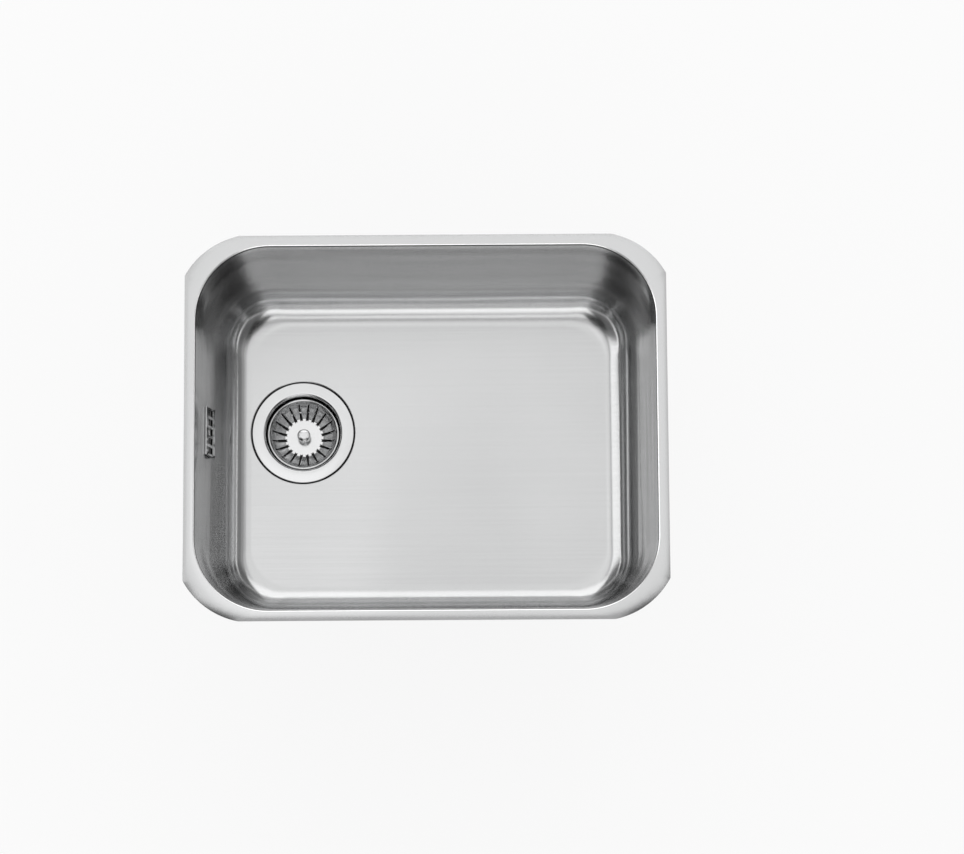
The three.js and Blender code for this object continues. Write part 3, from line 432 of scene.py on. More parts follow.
def rounded(corners, closed=False, steps=5):
    """A profile through corners of (radius, height) or (radius, height, fillet), fillets as arcs."""
    line = []
    last = len(corners) - 1
    for index, (x, y, *fillet) in enumerate(corners):
        corner = Vector((x, y))
        if not fillet or (not closed and index in (0, last)):
            line.append((x, y))
            continue
        before = (Vector(corners[index - 1][:2]) - corner).normalized()
        after = (Vector(corners[(index + 1) % len(corners)][:2]) - corner).normalized()
        half = before.angle(after) / 2
        centre = corner + (before + after).normalized() * fillet[0] / math.sin(half)
        start = (corner + before * fillet[0] / math.tan(half) - centre).normalized()
        end = (corner + after * fillet[0] / math.tan(half) - centre).normalized()
        for step in range(steps + 1):
            point = centre + start.slerp(end, step / steps) * fillet[0]
            line.append((point.x, point.y))
    return line


def spun(profile, segments=96, closed=False, angle=2 * math.pi, start=0.0):
    """Spins a profile of radius and height about the Z axis."""
    bm = bmesh.new()
    verts = [
        bm.verts.new((radius * math.cos(start), radius * math.sin(start), height))
        for radius, height in profile
    ]
    edges = [bm.edges.new(pair) for pair in zip(verts, verts[1:])]
    if closed:
        edges.append(bm.edges.new((verts[-1], verts[0])))
    full = abs(angle - 2 * math.pi) < 1e-6
    bmesh.ops.spin(
        bm, geom=verts + edges, cent=(0, 0, 0), axis=(0, 0, 1), angle=angle, steps=segments,
        use_merge=full, use_duplicate=False,
    )
    bmesh.ops.remove_doubles(bm, verts=bm.verts, dist=1e-4)
    bmesh.ops.dissolve_degenerate(bm, edges=bm.edges, dist=1e-5)
    return bm


def face_outwards(bm):
    bmesh.ops.recalc_face_normals(bm, faces=bm.faces)


def turned(profile, segments=96):
    """A solid or ring turned from a closed profile, or from one that starts and ends on the axis."""
    on_axis = profile[0][0] == 0 and profile[-1][0] == 0
    bm = spun(profile, segments, closed=not on_axis)
    face_outwards(bm)
    return bm


def ring_profile(inner, outer, bottom, top, fillet):
    corners = [(inner, bottom), (outer, bottom), (outer, top), (inner, top)]
    return rounded([(*corner, fillet) for corner in corners], closed=True, steps=3)


def turn_upwards(bm):
    """Points a dish's faces up and inwards, so that its sheet grows below and outside it."""
    bmesh.ops.remove_doubles(bm, verts=bm.verts, dist=1e-4)
    face_outwards(bm)
    lowest = min(bm.faces, key=lambda face: face.calc_center_median().z)
    if lowest.normal.z < 0:
        bmesh.ops.reverse_faces(bm, faces=bm.faces)


def place(bm, matrix):
    bmesh.ops.transform(bm, matrix=matrix, verts=bm.verts)
    return bm


def add_copy(bm, other):
    """Adds another bmesh's faces to this one."""
    carrier = bpy.data.meshes.new("carrier")
    other.to_mesh(carrier)
    other.free()
    bm.from_mesh(carrier)
    bpy.data.meshes.remove(carrier)


def edges_at(verts):
    """The edges that meet some points, each once."""
    return list(dict.fromkeys(edge for vert in verts for edge in vert.link_edges))


def faces_where(bm, test):
    """The faces whose middles pass a test."""
    return [face for face in bm.faces if test(face.calc_center_median())]


def only(kind, geom):
    return [part for part in geom if isinstance(part, kind)]


def cut_faces(bm, faces, point, normal):
    """Cuts some faces with a plane, and gives the faces that they became."""
    region = dict.fromkeys(part for face in faces for part in (face, *face.edges, *face.verts))
    cut = bmesh.ops.bisect_plane(bm, geom=list(region), plane_co=point, plane_no=normal)
    return only(bmesh.types.BMFace, cut["geom"])


def bridge_in_turn(bm, loops):
    for loop, next_loop in zip(loops, loops[1:]):
        bmesh.ops.bridge_loops(bm, edges=loop + next_loop)


def circle_edges(bm, radius, where, segments):
    made = bmesh.ops.create_circle(
        bm, cap_ends=False, segments=segments, radius=radius, matrix=where,
    )
    return edges_at(made["verts"])


def in_scene(name, data):
    made = bpy.data.objects.new(name, data)
    bpy.context.scene.collection.objects.link(made)
    return made


def mesh_in_scene(name, bm, material):
    mesh = bpy.data.meshes.new(name)
    bm.to_mesh(mesh)
    bm.free()
    mesh.materials.append(material)
    return in_scene(name, mesh)


def piece(name, bm, body, finish, nodes, where=upright, sheet=0.0, soften=0.0, sharp=35):
    """Makes a finished piece in metres from a bmesh in millimetres, parents it to its body and hides the
    nodes that it replaces.
    """
    place(bm, Matrix.Scale(MM, 4) @ where)
    for face in bm.faces:
        face.smooth = True
    for edge in bm.edges:
        edge.smooth = edge.calc_face_angle(0.0) < math.radians(sharp)
    slot, material = finish
    made = mesh_in_scene(name, bm, material)
    if sheet:
        thicken = made.modifiers.new("sheet", "SOLIDIFY")
        thicken.thickness = sheet * MM
        thicken.offset = -1
        thicken.use_even_offset = True
    if soften:
        bevel = made.modifiers.new("edges", "BEVEL")
        bevel.width = soften * MM
        bevel.segments = 3
        bevel.limit_method = "ANGLE"
        bevel.angle_limit = math.radians(sharp)
    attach(made, body)
    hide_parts(*nodes)
    return made


# ---- Bowl ----

CORNER_SEGMENTS = 28
ARC_CLEARANCE = 3
FLOOR_MARGIN = 2
WALL_TOP = -RIM_ROLL * (1 - math.sin(WALL_DRAFT))
WALL_FOOT = -BOWL_DEPTH + FLOOR_BEND * (1 - math.sin(WALL_DRAFT))
ROLL_INSET = -RIM_ROLL * math.cos(WALL_DRAFT)
FLOOR_INSET = (WALL_TOP - WALL_FOOT) * math.tan(WALL_DRAFT) + FLOOR_BEND * math.cos(WALL_DRAFT)


def wall_profile():
    """Inset from the opening and height, from the rim's flat to the floor's flat."""
    draft_deg = math.degrees(WALL_DRAFT)
    roll = arc((ROLL_INSET, -RIM_ROLL), RIM_ROLL, 90, draft_deg, 8)
    bend = arc((FLOOR_INSET, FLOOR_BEND - BOWL_DEPTH), FLOOR_BEND, 180 + draft_deg, 270, 22)
    below_roll, above_bend, steps = 1.5, 2, 6
    top, foot = WALL_TOP - below_roll, WALL_FOOT + above_bend
    levels = [top + (foot - top) * step / steps for step in range(steps + 1)]
    wall = [((WALL_TOP - level) * math.tan(WALL_DRAFT), level) for level in levels]
    rim_flat = (ROLL_INSET - 0.8, 0)
    floor_flat = (FLOOR_INSET + FLOOR_MARGIN, -BOWL_DEPTH)
    return [rim_flat, *roll, *wall, *bend, floor_flat]


def corner_radius(inset):
    """The plan's corners: one centre down the wall, opened out again round the floor bend."""
    wall_foot_inset = (WALL_TOP - WALL_FOOT) * math.tan(WALL_DRAFT)
    opened_out = FLOOR_CORNER_OPENING * max(inset - wall_foot_inset, 0)
    return OPENING_CORNER_RADIUS - inset + opened_out


def plan_loop(bm, inset, height):
    """The edges of one level of the bowl: a rectangle with rounded corners."""
    level = bmesh.new()
    bmesh.ops.create_grid(level, x_segments=1, y_segments=1, size=1)
    half_size = (OPENING_LENGTH / 2 - inset, OPENING_WIDTH / 2 - inset, 1)
    bmesh.ops.scale(level, vec=half_size, verts=level.verts)
    bmesh.ops.bevel(
        level, geom=level.verts[:], offset=corner_radius(inset), offset_type="OFFSET",
        affect="VERTICES", segments=CORNER_SEGMENTS, profile=0.5, material=-1,
        clamp_overlap=False,
    )
    bmesh.ops.delete(level, geom=level.faces[:], context="FACES_ONLY")
    bmesh.ops.translate(level, vec=(0, 0, height), verts=level.verts)
    before = set(bm.edges)
    add_copy(bm, level)
    return [edge for edge in bm.edges if edge not in before]


def rim_outline_edges(bm):
    """The rim's outer edge: corner arcs that meet the straight sides at a slight kink."""
    half_length, half_width = OPENING_LENGTH / 2 + RIM_WIDTH, OPENING_WIDTH / 2 + RIM_WIDTH
    centre = Vector((half_length - RIM_CORNER_FROM_END, half_width - RIM_CORNER_FROM_SIDE, 0))
    start = math.acos(RIM_CORNER_FROM_END / RIM_CORNER_RADIUS)
    finish = math.asin(RIM_CORNER_FROM_SIDE / RIM_CORNER_RADIUS)
    before = set(bm.verts)
    first = bm.verts.new(centre + RIM_CORNER_RADIUS * Vector((math.cos(start), math.sin(start), 0)))
    bmesh.ops.spin(
        bm, geom=[first], cent=centre, axis=(0, 0, 1), angle=finish - start, steps=20,
        use_merge=False, use_duplicate=False,
    )
    for axis in ("X", "Y"):
        arcs = [vert for vert in bm.verts if vert not in before]
        bmesh.ops.mirror(bm, geom=arcs + edges_at(arcs), axis=axis, merge_dist=-1)
    arcs = [vert for vert in bm.verts if vert not in before]
    ends = [vert for vert in arcs if len(vert.link_edges) == 1]
    for vert in ends:
        on_long_side = abs(vert.co.y) > half_width - 1
        if (vert.co.x if on_long_side else vert.co.y) > 0:
            facing = vert.co * Vector((-1, 1, 1) if on_long_side else (1, -1, 1))
            bm.edges.new((vert, min(ends, key=lambda end: (end.co - facing).length)))
    return edges_at(arcs)


def bowl():
    bm = bmesh.new()
    loops = [plan_loop(bm, inset, height) for inset, height in wall_profile()]
    bridge_in_turn(bm, loops)
    # Loops just inside the ends of the corner arcs keep the straight walls flat.
    for inset in (0, FLOOR_INSET):
        arc_end = inset + corner_radius(inset) + ARC_CLEARANCE
        for side in (-1, 1):
            for half_size, axis in ((OPENING_LENGTH / 2, (1, 0, 0)), (OPENING_WIDTH / 2, (0, 1, 0))):
                outwards = side * Vector(axis)
                cut_faces(bm, bm.faces, outwards * (half_size - arc_end), outwards)
    lead_round_recess(bm)
    floor_edges = [
        edge for edge in bm.edges
        if edge.is_boundary and all(vert.co.z < 1 - BOWL_DEPTH for vert in edge.verts)
    ]
    cut_overflow_slot(bm)
    add_waste_recess(bm, floor_edges)
    opening_edges = [
        edge for edge in bm.edges
        if edge.is_boundary and all(abs(vert.co.z) < 1e-4 for vert in edge.verts)
    ]
    bmesh.ops.triangle_fill(bm, edges=opening_edges + rim_outline_edges(bm), use_beauty=True)
    turn_upwards(bm)
    piece("sink_bowl", bm, "sink", BRUSHED, ["bowl"], sheet=SHEET, soften=0.25)


def lead_round_recess(bm):
    """Leads the last levels of the floor bend round the recess, which reaches past the floor's flat."""
    reach, clear = RECESS_RADIUS + 9, RECESS_RADIUS + 3
    nearest = OPENING_LENGTH / 2 + DRAIN_CENTRE[0] - FLOOR_INSET - FLOOR_MARGIN
    low, step = 4 - BOWL_DEPTH, 5
    strip = faces_where(bm, lambda at: at.z < low and at.x < DRAIN_CENTRE[0] - nearest)
    for across in range(-9 * step, 10 * step, step):
        strip = cut_faces(bm, strip, (0, DRAIN_CENTRE[1] + across, 0), (0, 1, 0))
    for vert in bm.verts:
        away = vert.co.xy - Vector(DRAIN_CENTRE)
        if away.length < reach:
            share = (reach - away.length) / (reach - nearest)
            led_out = away.normalized() * (reach - (reach - clear) * share)
            vert.co.xy = Vector(DRAIN_CENTRE) + led_out
            follow_bend(vert)


def follow_bend(vert):
    """Puts a point near the recess back on the end wall's floor bend."""
    run = min(max(FLOOR_INSET - OPENING_LENGTH / 2 - vert.co.x, 0), FLOOR_BEND)
    vert.co.z = FLOOR_BEND - BOWL_DEPTH - math.sqrt(FLOOR_BEND**2 - run**2)


def cut_overflow_slot(bm):
    """Opens the slot in the end wall behind the overflow cover."""
    end_wall = faces_where(bm, lambda at: (
        at.x < -OPENING_LENGTH / 2 + FLOOR_INSET
        and abs(at.y) < OPENING_WIDTH / 2 - OPENING_CORNER_RADIUS
        and WALL_FOOT < at.z < WALL_TOP
    ))
    half_length, half_height = WALL_SLOT_LENGTH / 2, WALL_SLOT_HEIGHT / 2
    low_corner = Vector((0, -half_length, -half_height))
    for axis in (overflow_frame.col[2].xyz, overflow_frame.col[1].xyz):
        for corner in (low_corner, -low_corner):
            end_wall = cut_faces(bm, end_wall, overflow_frame @ corner, axis)
    inwards = overflow_frame.inverted()
    opened = []
    for face in end_wall:
        centre = inwards @ face.calc_center_median()
        if abs(centre.y) < half_length and abs(centre.z) < half_height:
            opened.append(face)
    bmesh.ops.delete(bm, geom=opened, context="FACES")


def add_waste_recess(bm, floor_edges):
    """Joins the floor to the round recess and carries it down to the waste hole."""
    bend = RECESS_BEND
    rings = [
        (RECESS_RADIUS + bend + 1, 0),
        *arc((RECESS_RADIUS + bend, -bend), bend, 90, 180, 5),
        (RECESS_RADIUS, -RECESS_DEPTH + bend),
        (RECESS_RADIUS - 0.5, -RECESS_DEPTH + 0.4),
        (RECESS_RADIUS - bend, -RECESS_DEPTH),
        (DRAIN_HOLE_RADIUS, -RECESS_DEPTH),
    ]
    loops = [
        circle_edges(bm, radius, waste_frame @ Matrix.Translation((0, 0, height)), 96)
        for radius, height in rings
    ]
    for vert in {vert for edge in loops[0] for vert in edge.verts}:
        follow_bend(vert)
    bmesh.ops.triangle_fill(bm, edges=floor_edges + loops[0], use_beauty=True)
    bridge_in_turn(bm, loops)


bowl()

# ---- Strainer flange ----


def opened_sector(line, sectors, columns, adjust, opened):
    """Spins one sector of a dish, shapes its columns, opens some faces and repeats it all round."""
    sector = 2 * math.pi / sectors
    bm = spun(line, columns, angle=sector, start=-sector / 2)
    for vert in bm.verts:
        radius = math.hypot(vert.co.x, vert.co.y)
        column = round((math.atan2(vert.co.y, vert.co.x) + sector / 2) / (sector / columns))
        angle = adjust(column, radius)
        if angle is not None:
            vert.co.x, vert.co.y = radius * math.cos(angle), radius * math.sin(angle)
    bmesh.ops.delete(bm, geom=faces_where(bm, opened), context="FACES")
    bmesh.ops.spin(
        bm, geom=bm.verts[:] + bm.edges[:] + bm.faces[:], cent=(0, 0, 0), axis=(0, 0, 1),
        angle=2 * math.pi - sector, steps=sectors - 1, use_duplicate=True, use_merge=False,
    )
    turn_upwards(bm)
    return bm


def strainer_flange():
    line = rounded([
        (STRAINER_RING_RADIUS, -STRAINER_RING_THICKNESS + 0.1),
        (STRAINER_RING_RADIUS, 0, 0.6),
        (THROAT_RADIUS + THROAT_BEND + 1, 0),
        (THROAT_RADIUS, 0, THROAT_BEND),
        (THROAT_RADIUS, -THROAT_DEPTH, THROAT_FOOT_BEND),
        (CUP_FLOOR_RADIUS, -CUP_DEPTH, CUP_FLOOR_BEND),
        (OUTLET_SECTOR_RADIUS, -CUP_DEPTH),
        (OUTLET_HUB_RADIUS, -CUP_DEPTH),
        (SCREW_HOLE_RADIUS, -CUP_DEPTH),
    ], steps=7)
    columns = 24
    slack = 0.01
    half_spoke = OUTLET_SPOKE_WIDTH / 2
    edge_of = math.pi / OUTLET_SPOKES

    def adjust(column, radius):
        if not OUTLET_HUB_RADIUS - slack <= radius <= OUTLET_SECTOR_RADIUS + slack:
            return None
        spoke = math.asin(half_spoke / radius)
        return {1: spoke - edge_of, columns - 1: edge_of - spoke}.get(column)

    def opened(centre):
        radius = math.hypot(centre.x, centre.y)
        if not OUTLET_HUB_RADIUS < radius < OUTLET_SECTOR_RADIUS:
            return False
        angle = edge_of - abs(math.atan2(centre.y, centre.x))
        return radius * math.sin(angle) > half_spoke

    bm = opened_sector(line, OUTLET_SPOKES, columns, adjust, opened)
    piece(
        "strainer_flange_pressing", bm, "sink", POLISHED, ["strainer_flange"], waste_frame,
        sheet=STRAINER_SHEET, soften=0.15,
    )


strainer_flange()

# ---- Basket ----


def basket_cup():
    """A rounded dish with a rolled lip; the slots run from its floor up its slanting wall."""
    lip = BASKET_LIP_WIDTH / 2
    line = rounded([
        (STEM_HOLE_RADIUS, -BASKET_FLOOR_DROP),
        (KNOB_RADIUS, -BASKET_FLOOR_DROP),
        (SLOT_INNER_RADIUS - 1, -BASKET_FLOOR_DROP),
        (SLOT_INNER_RADIUS, -BASKET_FLOOR_DROP),
        (BASKET_FOOT_RADIUS, -BASKET_FLOOR_DROP, BASKET_FOOT_BEND),
        (BASKET_WAIST_RADIUS, -BASKET_WAIST_DROP, BASKET_WAIST_BEND),
        (SLOT_TOP_RADIUS, -SLOT_TOP_DROP),
        (BASKET_SHOULDER_RADIUS, -BASKET_SHOULDER_DROP, 0.5),
        (BASKET_LIP_RADIUS - BASKET_LIP_WIDTH, -BASKET_LIP_DROP - lip),
    ]) + arc((BASKET_LIP_RADIUS - lip, -BASKET_LIP_DROP - lip), lip, 170, 0, 7) + [
        (BASKET_LIP_RADIUS, -BASKET_LIP_DROP - BASKET_LIP_WIDTH),
    ]
    middle = 4

    def half_slot(radius):
        return (SLOT_FOOT_WIDTH if radius < SLOT_FOOT_RADIUS else SLOT_WIDTH) / 2

    def adjust(column, radius):
        if radius < SLOT_INNER_RADIUS - 1.1:
            return None
        side = {middle - 1: -1, middle + 1: 1}.get(column, 0)
        return side * math.asin(half_slot(radius) / radius) if side else None

    def opened(centre):
        radius = math.hypot(centre.x, centre.y)
        return (
            abs(centre.y) < half_slot(radius) and radius > SLOT_INNER_RADIUS
            and centre.z < -SLOT_TOP_DROP
        )

    bm = opened_sector(line, SLOT_COUNT, 2 * middle, adjust, opened)
    turn = Matrix.Rotation(math.pi / SLOT_COUNT, 4, "Z")
    piece(
        "basket_cup_pressing", bm, "basket", TUMBLED, ["basket_cup"], waste_frame @ turn,
        sheet=BASKET_SHEET, soften=0.12,
    )


def basket_knob():
    foot = -BASKET_FLOOR_DROP + SEAT_GAP
    head_foot = -KNOB_TOP_DROP - KNOB_HEAD_HEIGHT
    bore_top = head_foot + KNOB_HEAD_HEIGHT / 2 + SEAT_GAP
    profile = rounded([
        (0, bore_top),
        (STEM_HOLE_RADIUS, bore_top), (STEM_HOLE_RADIUS, foot),
        (KNOB_NECK_RADIUS + 1.6, foot, 0.3), (KNOB_NECK_RADIUS, foot + 2, 1.2),
        (KNOB_NECK_RADIUS, head_foot - 1, 1.2), (KNOB_RADIUS, head_foot, 0.7),
        (KNOB_RADIUS, -KNOB_TOP_DROP - 0.8, 1.6), (KNOB_RADIUS / 2, -KNOB_TOP_DROP, 2),
        (0, -KNOB_TOP_DROP),
    ], steps=6)
    knob = turned(profile, 64)
    piece("basket_knob_turned", knob, "basket", POLISHED, ["basket_knob"], waste_frame)


basket_cup()
basket_knob()

# ---- Overflow cover ----


def cover_face(height):
    """How far the cover's sloping face stands off the wall at a height on it."""
    share = (height + COVER_HEIGHT / 2) / COVER_HEIGHT
    return COVER_BOTTOM_PROUD + (COVER_TOP_PROUD - COVER_BOTTOM_PROUD) * share


def overflow_cover():
    """A shallow pressed cap, open at the back, with a row of windows in its sloping face."""
    half_length = COVER_LENGTH / 2
    half_height = COVER_HEIGHT / 2
    half_window = WINDOW_LENGTH / 2
    centres = [(i - (WINDOW_COUNT - 1) / 2) * WINDOW_PITCH for i in range(WINDOW_COUNT)]
    across = [-half_length]
    for centre in centres:
        across += [centre - half_window, centre + half_window]
    across.append(half_length)
    up = [-half_height, -WINDOW_HEIGHT / 2, WINDOW_HEIGHT / 2, half_height]
    bm = bmesh.new()
    bmesh.ops.create_grid(bm, x_segments=len(across) - 1, y_segments=len(up) - 1, size=1)
    for vert in bm.verts:
        column = round((vert.co.x + 1) / 2 * (len(across) - 1))
        row = round((vert.co.y + 1) / 2 * (len(up) - 1))
        vert.co = (cover_face(up[row]), across[column], up[row])
    outline = [edge for edge in bm.edges if edge.is_boundary]
    windows = faces_where(bm, lambda at: (
        abs(at.z) < 1 and min(abs(at.y - centre) for centre in centres) < 1
    ))
    bmesh.ops.delete(bm, geom=windows, context="FACES")
    skirt = bmesh.ops.extrude_edge_only(bm, edges=outline)["geom"]
    for vert in only(bmesh.types.BMVert, skirt):
        vert.co.x = SEAT_GAP
    face_outwards(bm)
    if max(bm.faces, key=lambda face: face.calc_center_median().x).normal.x < 0:
        bmesh.ops.reverse_faces(bm, faces=bm.faces)
    bmesh.ops.solidify(bm, geom=bm.faces[:], thickness=COVER_SHEET)
    face_outwards(bm)
    # Faces turned to the wall, and the skirt's faces turned inwards, take the painted shade.
    edge_margin, turned_away = 2, -0.5
    for face in bm.faces:
        centre, normal = face.calc_center_median(), face.normal
        at_an_end = abs(centre.y) > half_length - edge_margin
        at_the_edge = at_an_end or abs(centre.z) > half_height - edge_margin
        inwards = normal.y * centre.y + normal.z * centre.z
        if normal.x < turned_away or (inwards < turned_away and at_the_edge):
            face.material_index = 1
    add_screw_boss(bm)
    cover = piece(
        "overflow_cover_plated", bm, "sink", CHROME, ["overflow_cover"], overflow_frame,
        soften=0.3,
    )
    cover.data.materials.append(PAINTED_SHADE_INSIDE)


def add_screw_boss(bm):
    """The bridge across the top of the middle window, and the boss that the screw goes through."""
    bridge = bmesh.new()
    bmesh.ops.create_cube(bridge, size=1)
    back, below_face = 1.0, 0.35
    for vert in bridge.verts:
        height = BRIDGE_TOP - (0.5 - vert.co.z) * BRIDGE_HEIGHT
        depth = back if vert.co.x < 0 else cover_face(height) - below_face
        vert.co = (depth, vert.co.y * WINDOW_LENGTH, height)
    add_copy(bm, bridge)
    foot, top = -1, cover_face(SCREW_RISE) - 0.5
    boss = turned(rounded([
        (SCREW_BORE_RADIUS, foot), (SCREW_BOSS_RADIUS, foot),
        (SCREW_BOSS_RADIUS, top, 0.5), (SCREW_BORE_RADIUS, top, 0.3),
    ], closed=True), 32)
    add_copy(bm, place(boss, along_screw))


overflow_cover()

# ---- Screws, washers, seals and plug ----


def cut_cross(bm, top, reach, width, depth):
    """Sinks a cross recess into the flat top of a screw's head."""
    head = max(bm.faces, key=lambda face: (round(face.calc_center_median().z, 2), face.calc_area()))
    region = [head]
    for normal in (Vector((1, 0, 0)), Vector((0, 1, 0))):
        for distance in (-width / 2, -reach, width / 2, reach):
            region = cut_faces(bm, region, normal * distance, normal)
    arms = []
    for face in region:
        near, far = sorted(abs(part) for part in face.calc_center_median().xy)
        if near < width / 2 and far < reach:
            arms.append(face)
    sunk = bmesh.ops.extrude_face_region(bm, geom=arms)["geom"]
    bmesh.ops.delete(bm, geom=[face for face in arms if face.is_valid], context="FACES")
    narrowing = 0.8
    for vert in only(bmesh.types.BMVert, sunk):
        vert.co.z = top - depth
        vert.co.xy *= narrowing


def screw(name, node, where, shaft, head_radius, tip, seat, top):
    """A pan-headed screw with a cross recess, head up."""
    flat = head_radius * 0.62
    bm = turned(rounded([
        (0, tip), (shaft / 2, tip), (shaft, tip + shaft), (shaft, seat),
        (head_radius, seat, 0.15), (head_radius, (seat + top) / 2, 0.4), (flat, top), (0, top),
    ]), 48)
    centre_fan = faces_where(bm, lambda at: at.z > top - 1e-3)
    bmesh.ops.dissolve_faces(bm, faces=centre_fan)
    cut_cross(bm, top, reach=flat * 0.85, width=head_radius * 0.24, depth=(top - seat) * 0.55)
    piece(name, bm, "sink", POLISHED, [node], where)


def ring_piece(name, body, finish, node, where, inner, outer, bottom, top, fillet):
    ring = turned(ring_profile(inner, outer, bottom, top, fillet))
    piece(name, ring, body, finish, [node], where)


def basket_pin():
    pin = turned(rounded([
        (0, PIN_FOOT), (PIN_FLANGE_RADIUS, PIN_FOOT, 0.3), (PIN_FLANGE_RADIUS, PIN_FLANGE_TOP, 0.3),
        (STEM_RADIUS, PIN_FLANGE_TOP), (STEM_RADIUS, PIN_TOP, 0.5), (0, PIN_TOP),
    ], steps=4), 48)
    piece("basket_pin", pin, "basket", POLISHED, ["basket_stem"], waste_frame)


def plug_rubber():
    socket_top = PIN_FLANGE_TOP + SEAT_GAP
    plug = turned(rounded([
        (STEM_HOLE_RADIUS, socket_top), (PLUG_SOCKET_RADIUS, socket_top),
        (PLUG_SOCKET_RADIUS, PLUG_FOOT), (PLUG_RADIUS - 1, PLUG_FOOT, 0.6),
        (PLUG_RADIUS, PLUG_FOOT + 1, 0.4), (PLUG_RADIUS - 1.2, PLUG_SKIRT_TOP, 0.4),
        (PLUG_HUB_RADIUS, PLUG_SKIRT_TOP, 0.6), (PLUG_HUB_RADIUS, PLUG_TOP - 1, 0.6),
        (PLUG_HUB_RADIUS - 1, PLUG_TOP, 0.4), (STEM_HOLE_RADIUS, PLUG_TOP),
    ], closed=True, steps=4))
    piece("plug_rubber", plug, "plug", RUBBER, ["plug_seal"], waste_frame)


screw(
    "overflow_fixing", "overflow_screw", overflow_frame @ along_screw,
    shaft=1.7, head_radius=2.7, tip=-16, seat=1.4, top=2.8,
)
screw(
    "clamp_screw_turned", "clamp_screw", waste_frame,
    shaft=3, head_radius=5.6, tip=-74, seat=-40.4, top=-37.6,
)
ring_piece(
    "clamp_washer_pressed", "sink", POLISHED, "clamp_washer", waste_frame,
    inner=SCREW_HOLE_RADIUS, outer=7, bottom=-41.7, top=-40.7, fillet=0.2,
)
ring_piece(
    "flange_gasket", "sink", RUBBER, "flange_seal", waste_frame,
    inner=DRAIN_HOLE_RADIUS, outer=STRAINER_RING_RADIUS - 2, bottom=SEAT_GAP - RECESS_DEPTH,
    top=-STRAINER_RING_THICKNESS - SEAT_GAP, fillet=0.4,
)
ring_piece(
    "body_gasket", "sink", RUBBER, "body_seal", waste_frame,
    inner=DRAIN_HOLE_RADIUS + 1.5, outer=BODY_COLLAR_RADIUS, bottom=BODY_TOP + SEAT_GAP,
    top=-RECESS_DEPTH - SHEET - SEAT_GAP, fillet=1.0,
)
for end, union in (("upper", upper_union), ("lower", lower_union)):
    ring_piece(
        f"union_gasket_{end}", "sink", RUBBER, f"hose_washer_{end}", union,
        inner=PORT_BORE_RADIUS, outer=HOSE_COLLAR_RADIUS, bottom=SEAT_GAP,
        top=HOSE_START - SEAT_GAP, fillet=0.4,
    )
basket_pin()
plug_rubber()
ring_piece(
    "plug_spacer", "plug", RUBBER, "seal_carrier", waste_frame,
    inner=PLUG_HUB_RADIUS + SEAT_GAP, outer=28, bottom=PLUG_SKIRT_TOP + SEAT_GAP, top=PLUG_TOP,
    fillet=1.0,
)

# ---- Waste body ----


def helical_thread(radius, depth, pitch, bottom, top):
    """A thread's ridge, wound by a spin that climbs as it turns."""
    turns = int((top - bottom) / pitch) - 1
    steps = 48 * turns
    root, crest = radius - depth - 0.4, radius - 0.15
    half_root, half_crest = 0.45 * pitch, 0.12 * pitch
    corners = ((root, -half_root), (crest, -half_crest), (crest, half_crest), (root, half_root))
    bm = bmesh.new()
    verts = [bm.verts.new((out, 0, bottom + pitch + height)) for out, height in corners]
    first = bm.faces.new(verts)
    bmesh.ops.spin(
        bm, geom=[first, *first.edges, *verts], cent=(0, 0, 0), axis=(0, 0, 1),
        dvec=(0, 0, pitch * turns / steps), angle=2 * math.pi * turns, steps=steps,
        use_merge=False, use_duplicate=False,
    )
    face_outwards(bm)
    return bm


def body_rib(angle):
    """A rib across the body, from the chamber's foot into the cone."""
    rib = bmesh.new()
    bmesh.ops.create_cube(rib, size=1)
    for vert in rib.verts:
        half_length, height = RIB_FOOT if vert.co.z < 0 else RIB_TOP
        vert.co = (math.copysign(half_length, vert.co.x), vert.co.y * RIB_WIDTH, height)
    return place(rib, Matrix.Rotation(angle, 4, "Z"))


def waste_body():
    inner = BODY_RADIUS - BODY_WALL
    cone_radius = OUTLET_RADIUS + 0.4
    thread_root, thread_top = OUTLET_RADIUS - THREAD_DEPTH, BODY_CONE_FOOT - 4
    bm = turned(rounded([
        (inner, BODY_TOP, 0.5), (BODY_COLLAR_RADIUS, BODY_TOP, 0.8),
        (BODY_COLLAR_RADIUS, BODY_COLLAR_FOOT, 1.2), (BODY_RADIUS, BODY_COLLAR_FOOT - 2, 1.5),
        (BODY_RADIUS, BODY_CHAMBER_FOOT, 4), (cone_radius, BODY_CONE_FOOT, 2),
        (cone_radius, BODY_CONE_FOOT - 3, 0.6), (thread_root, thread_top, 0.3),
        (thread_root, BODY_FOOT, 0.8), (OUTLET_BORE_RADIUS, BODY_FOOT, 0.6),
        (OUTLET_BORE_RADIUS, BODY_CONE_FOOT + 1, 2), (inner, BODY_CHAMBER_FOOT + 1, 3),
    ], closed=True), 128)
    add_copy(bm, helical_thread(OUTLET_RADIUS, THREAD_DEPTH, THREAD_PITCH, BODY_FOOT, thread_top))
    tube = ring_profile(PORT_BORE_RADIUS, PORT_RADIUS, PORT_ROOT, BODY_PORT_LENGTH, 0.6)
    port_foot = rounded([
        (PORT_BORE_RADIUS, PORT_ROOT), (PORT_RADIUS + 3, PORT_ROOT), (PORT_RADIUS + 3, 6),
        (PORT_RADIUS, 10, 3), (PORT_RADIUS - 1, 12),
    ], closed=True)
    for profile in (tube, port_foot):
        add_copy(bm, place(turned(profile, 64), waste_frame.inverted() @ towards_end_wall))
    insert_boss = ring_profile(inner=6.1, outer=8.5, bottom=-75, top=-60, fillet=0.6)
    add_copy(bm, turned(insert_boss, 48))
    for angle_deg in (45, 135):
        add_copy(bm, body_rib(math.radians(angle_deg)))
    piece("waste_chamber_moulding", bm, "sink", WHITE_PLASTIC, ["waste_body"], waste_frame)


waste_body()

# ---- Hose and unions ----


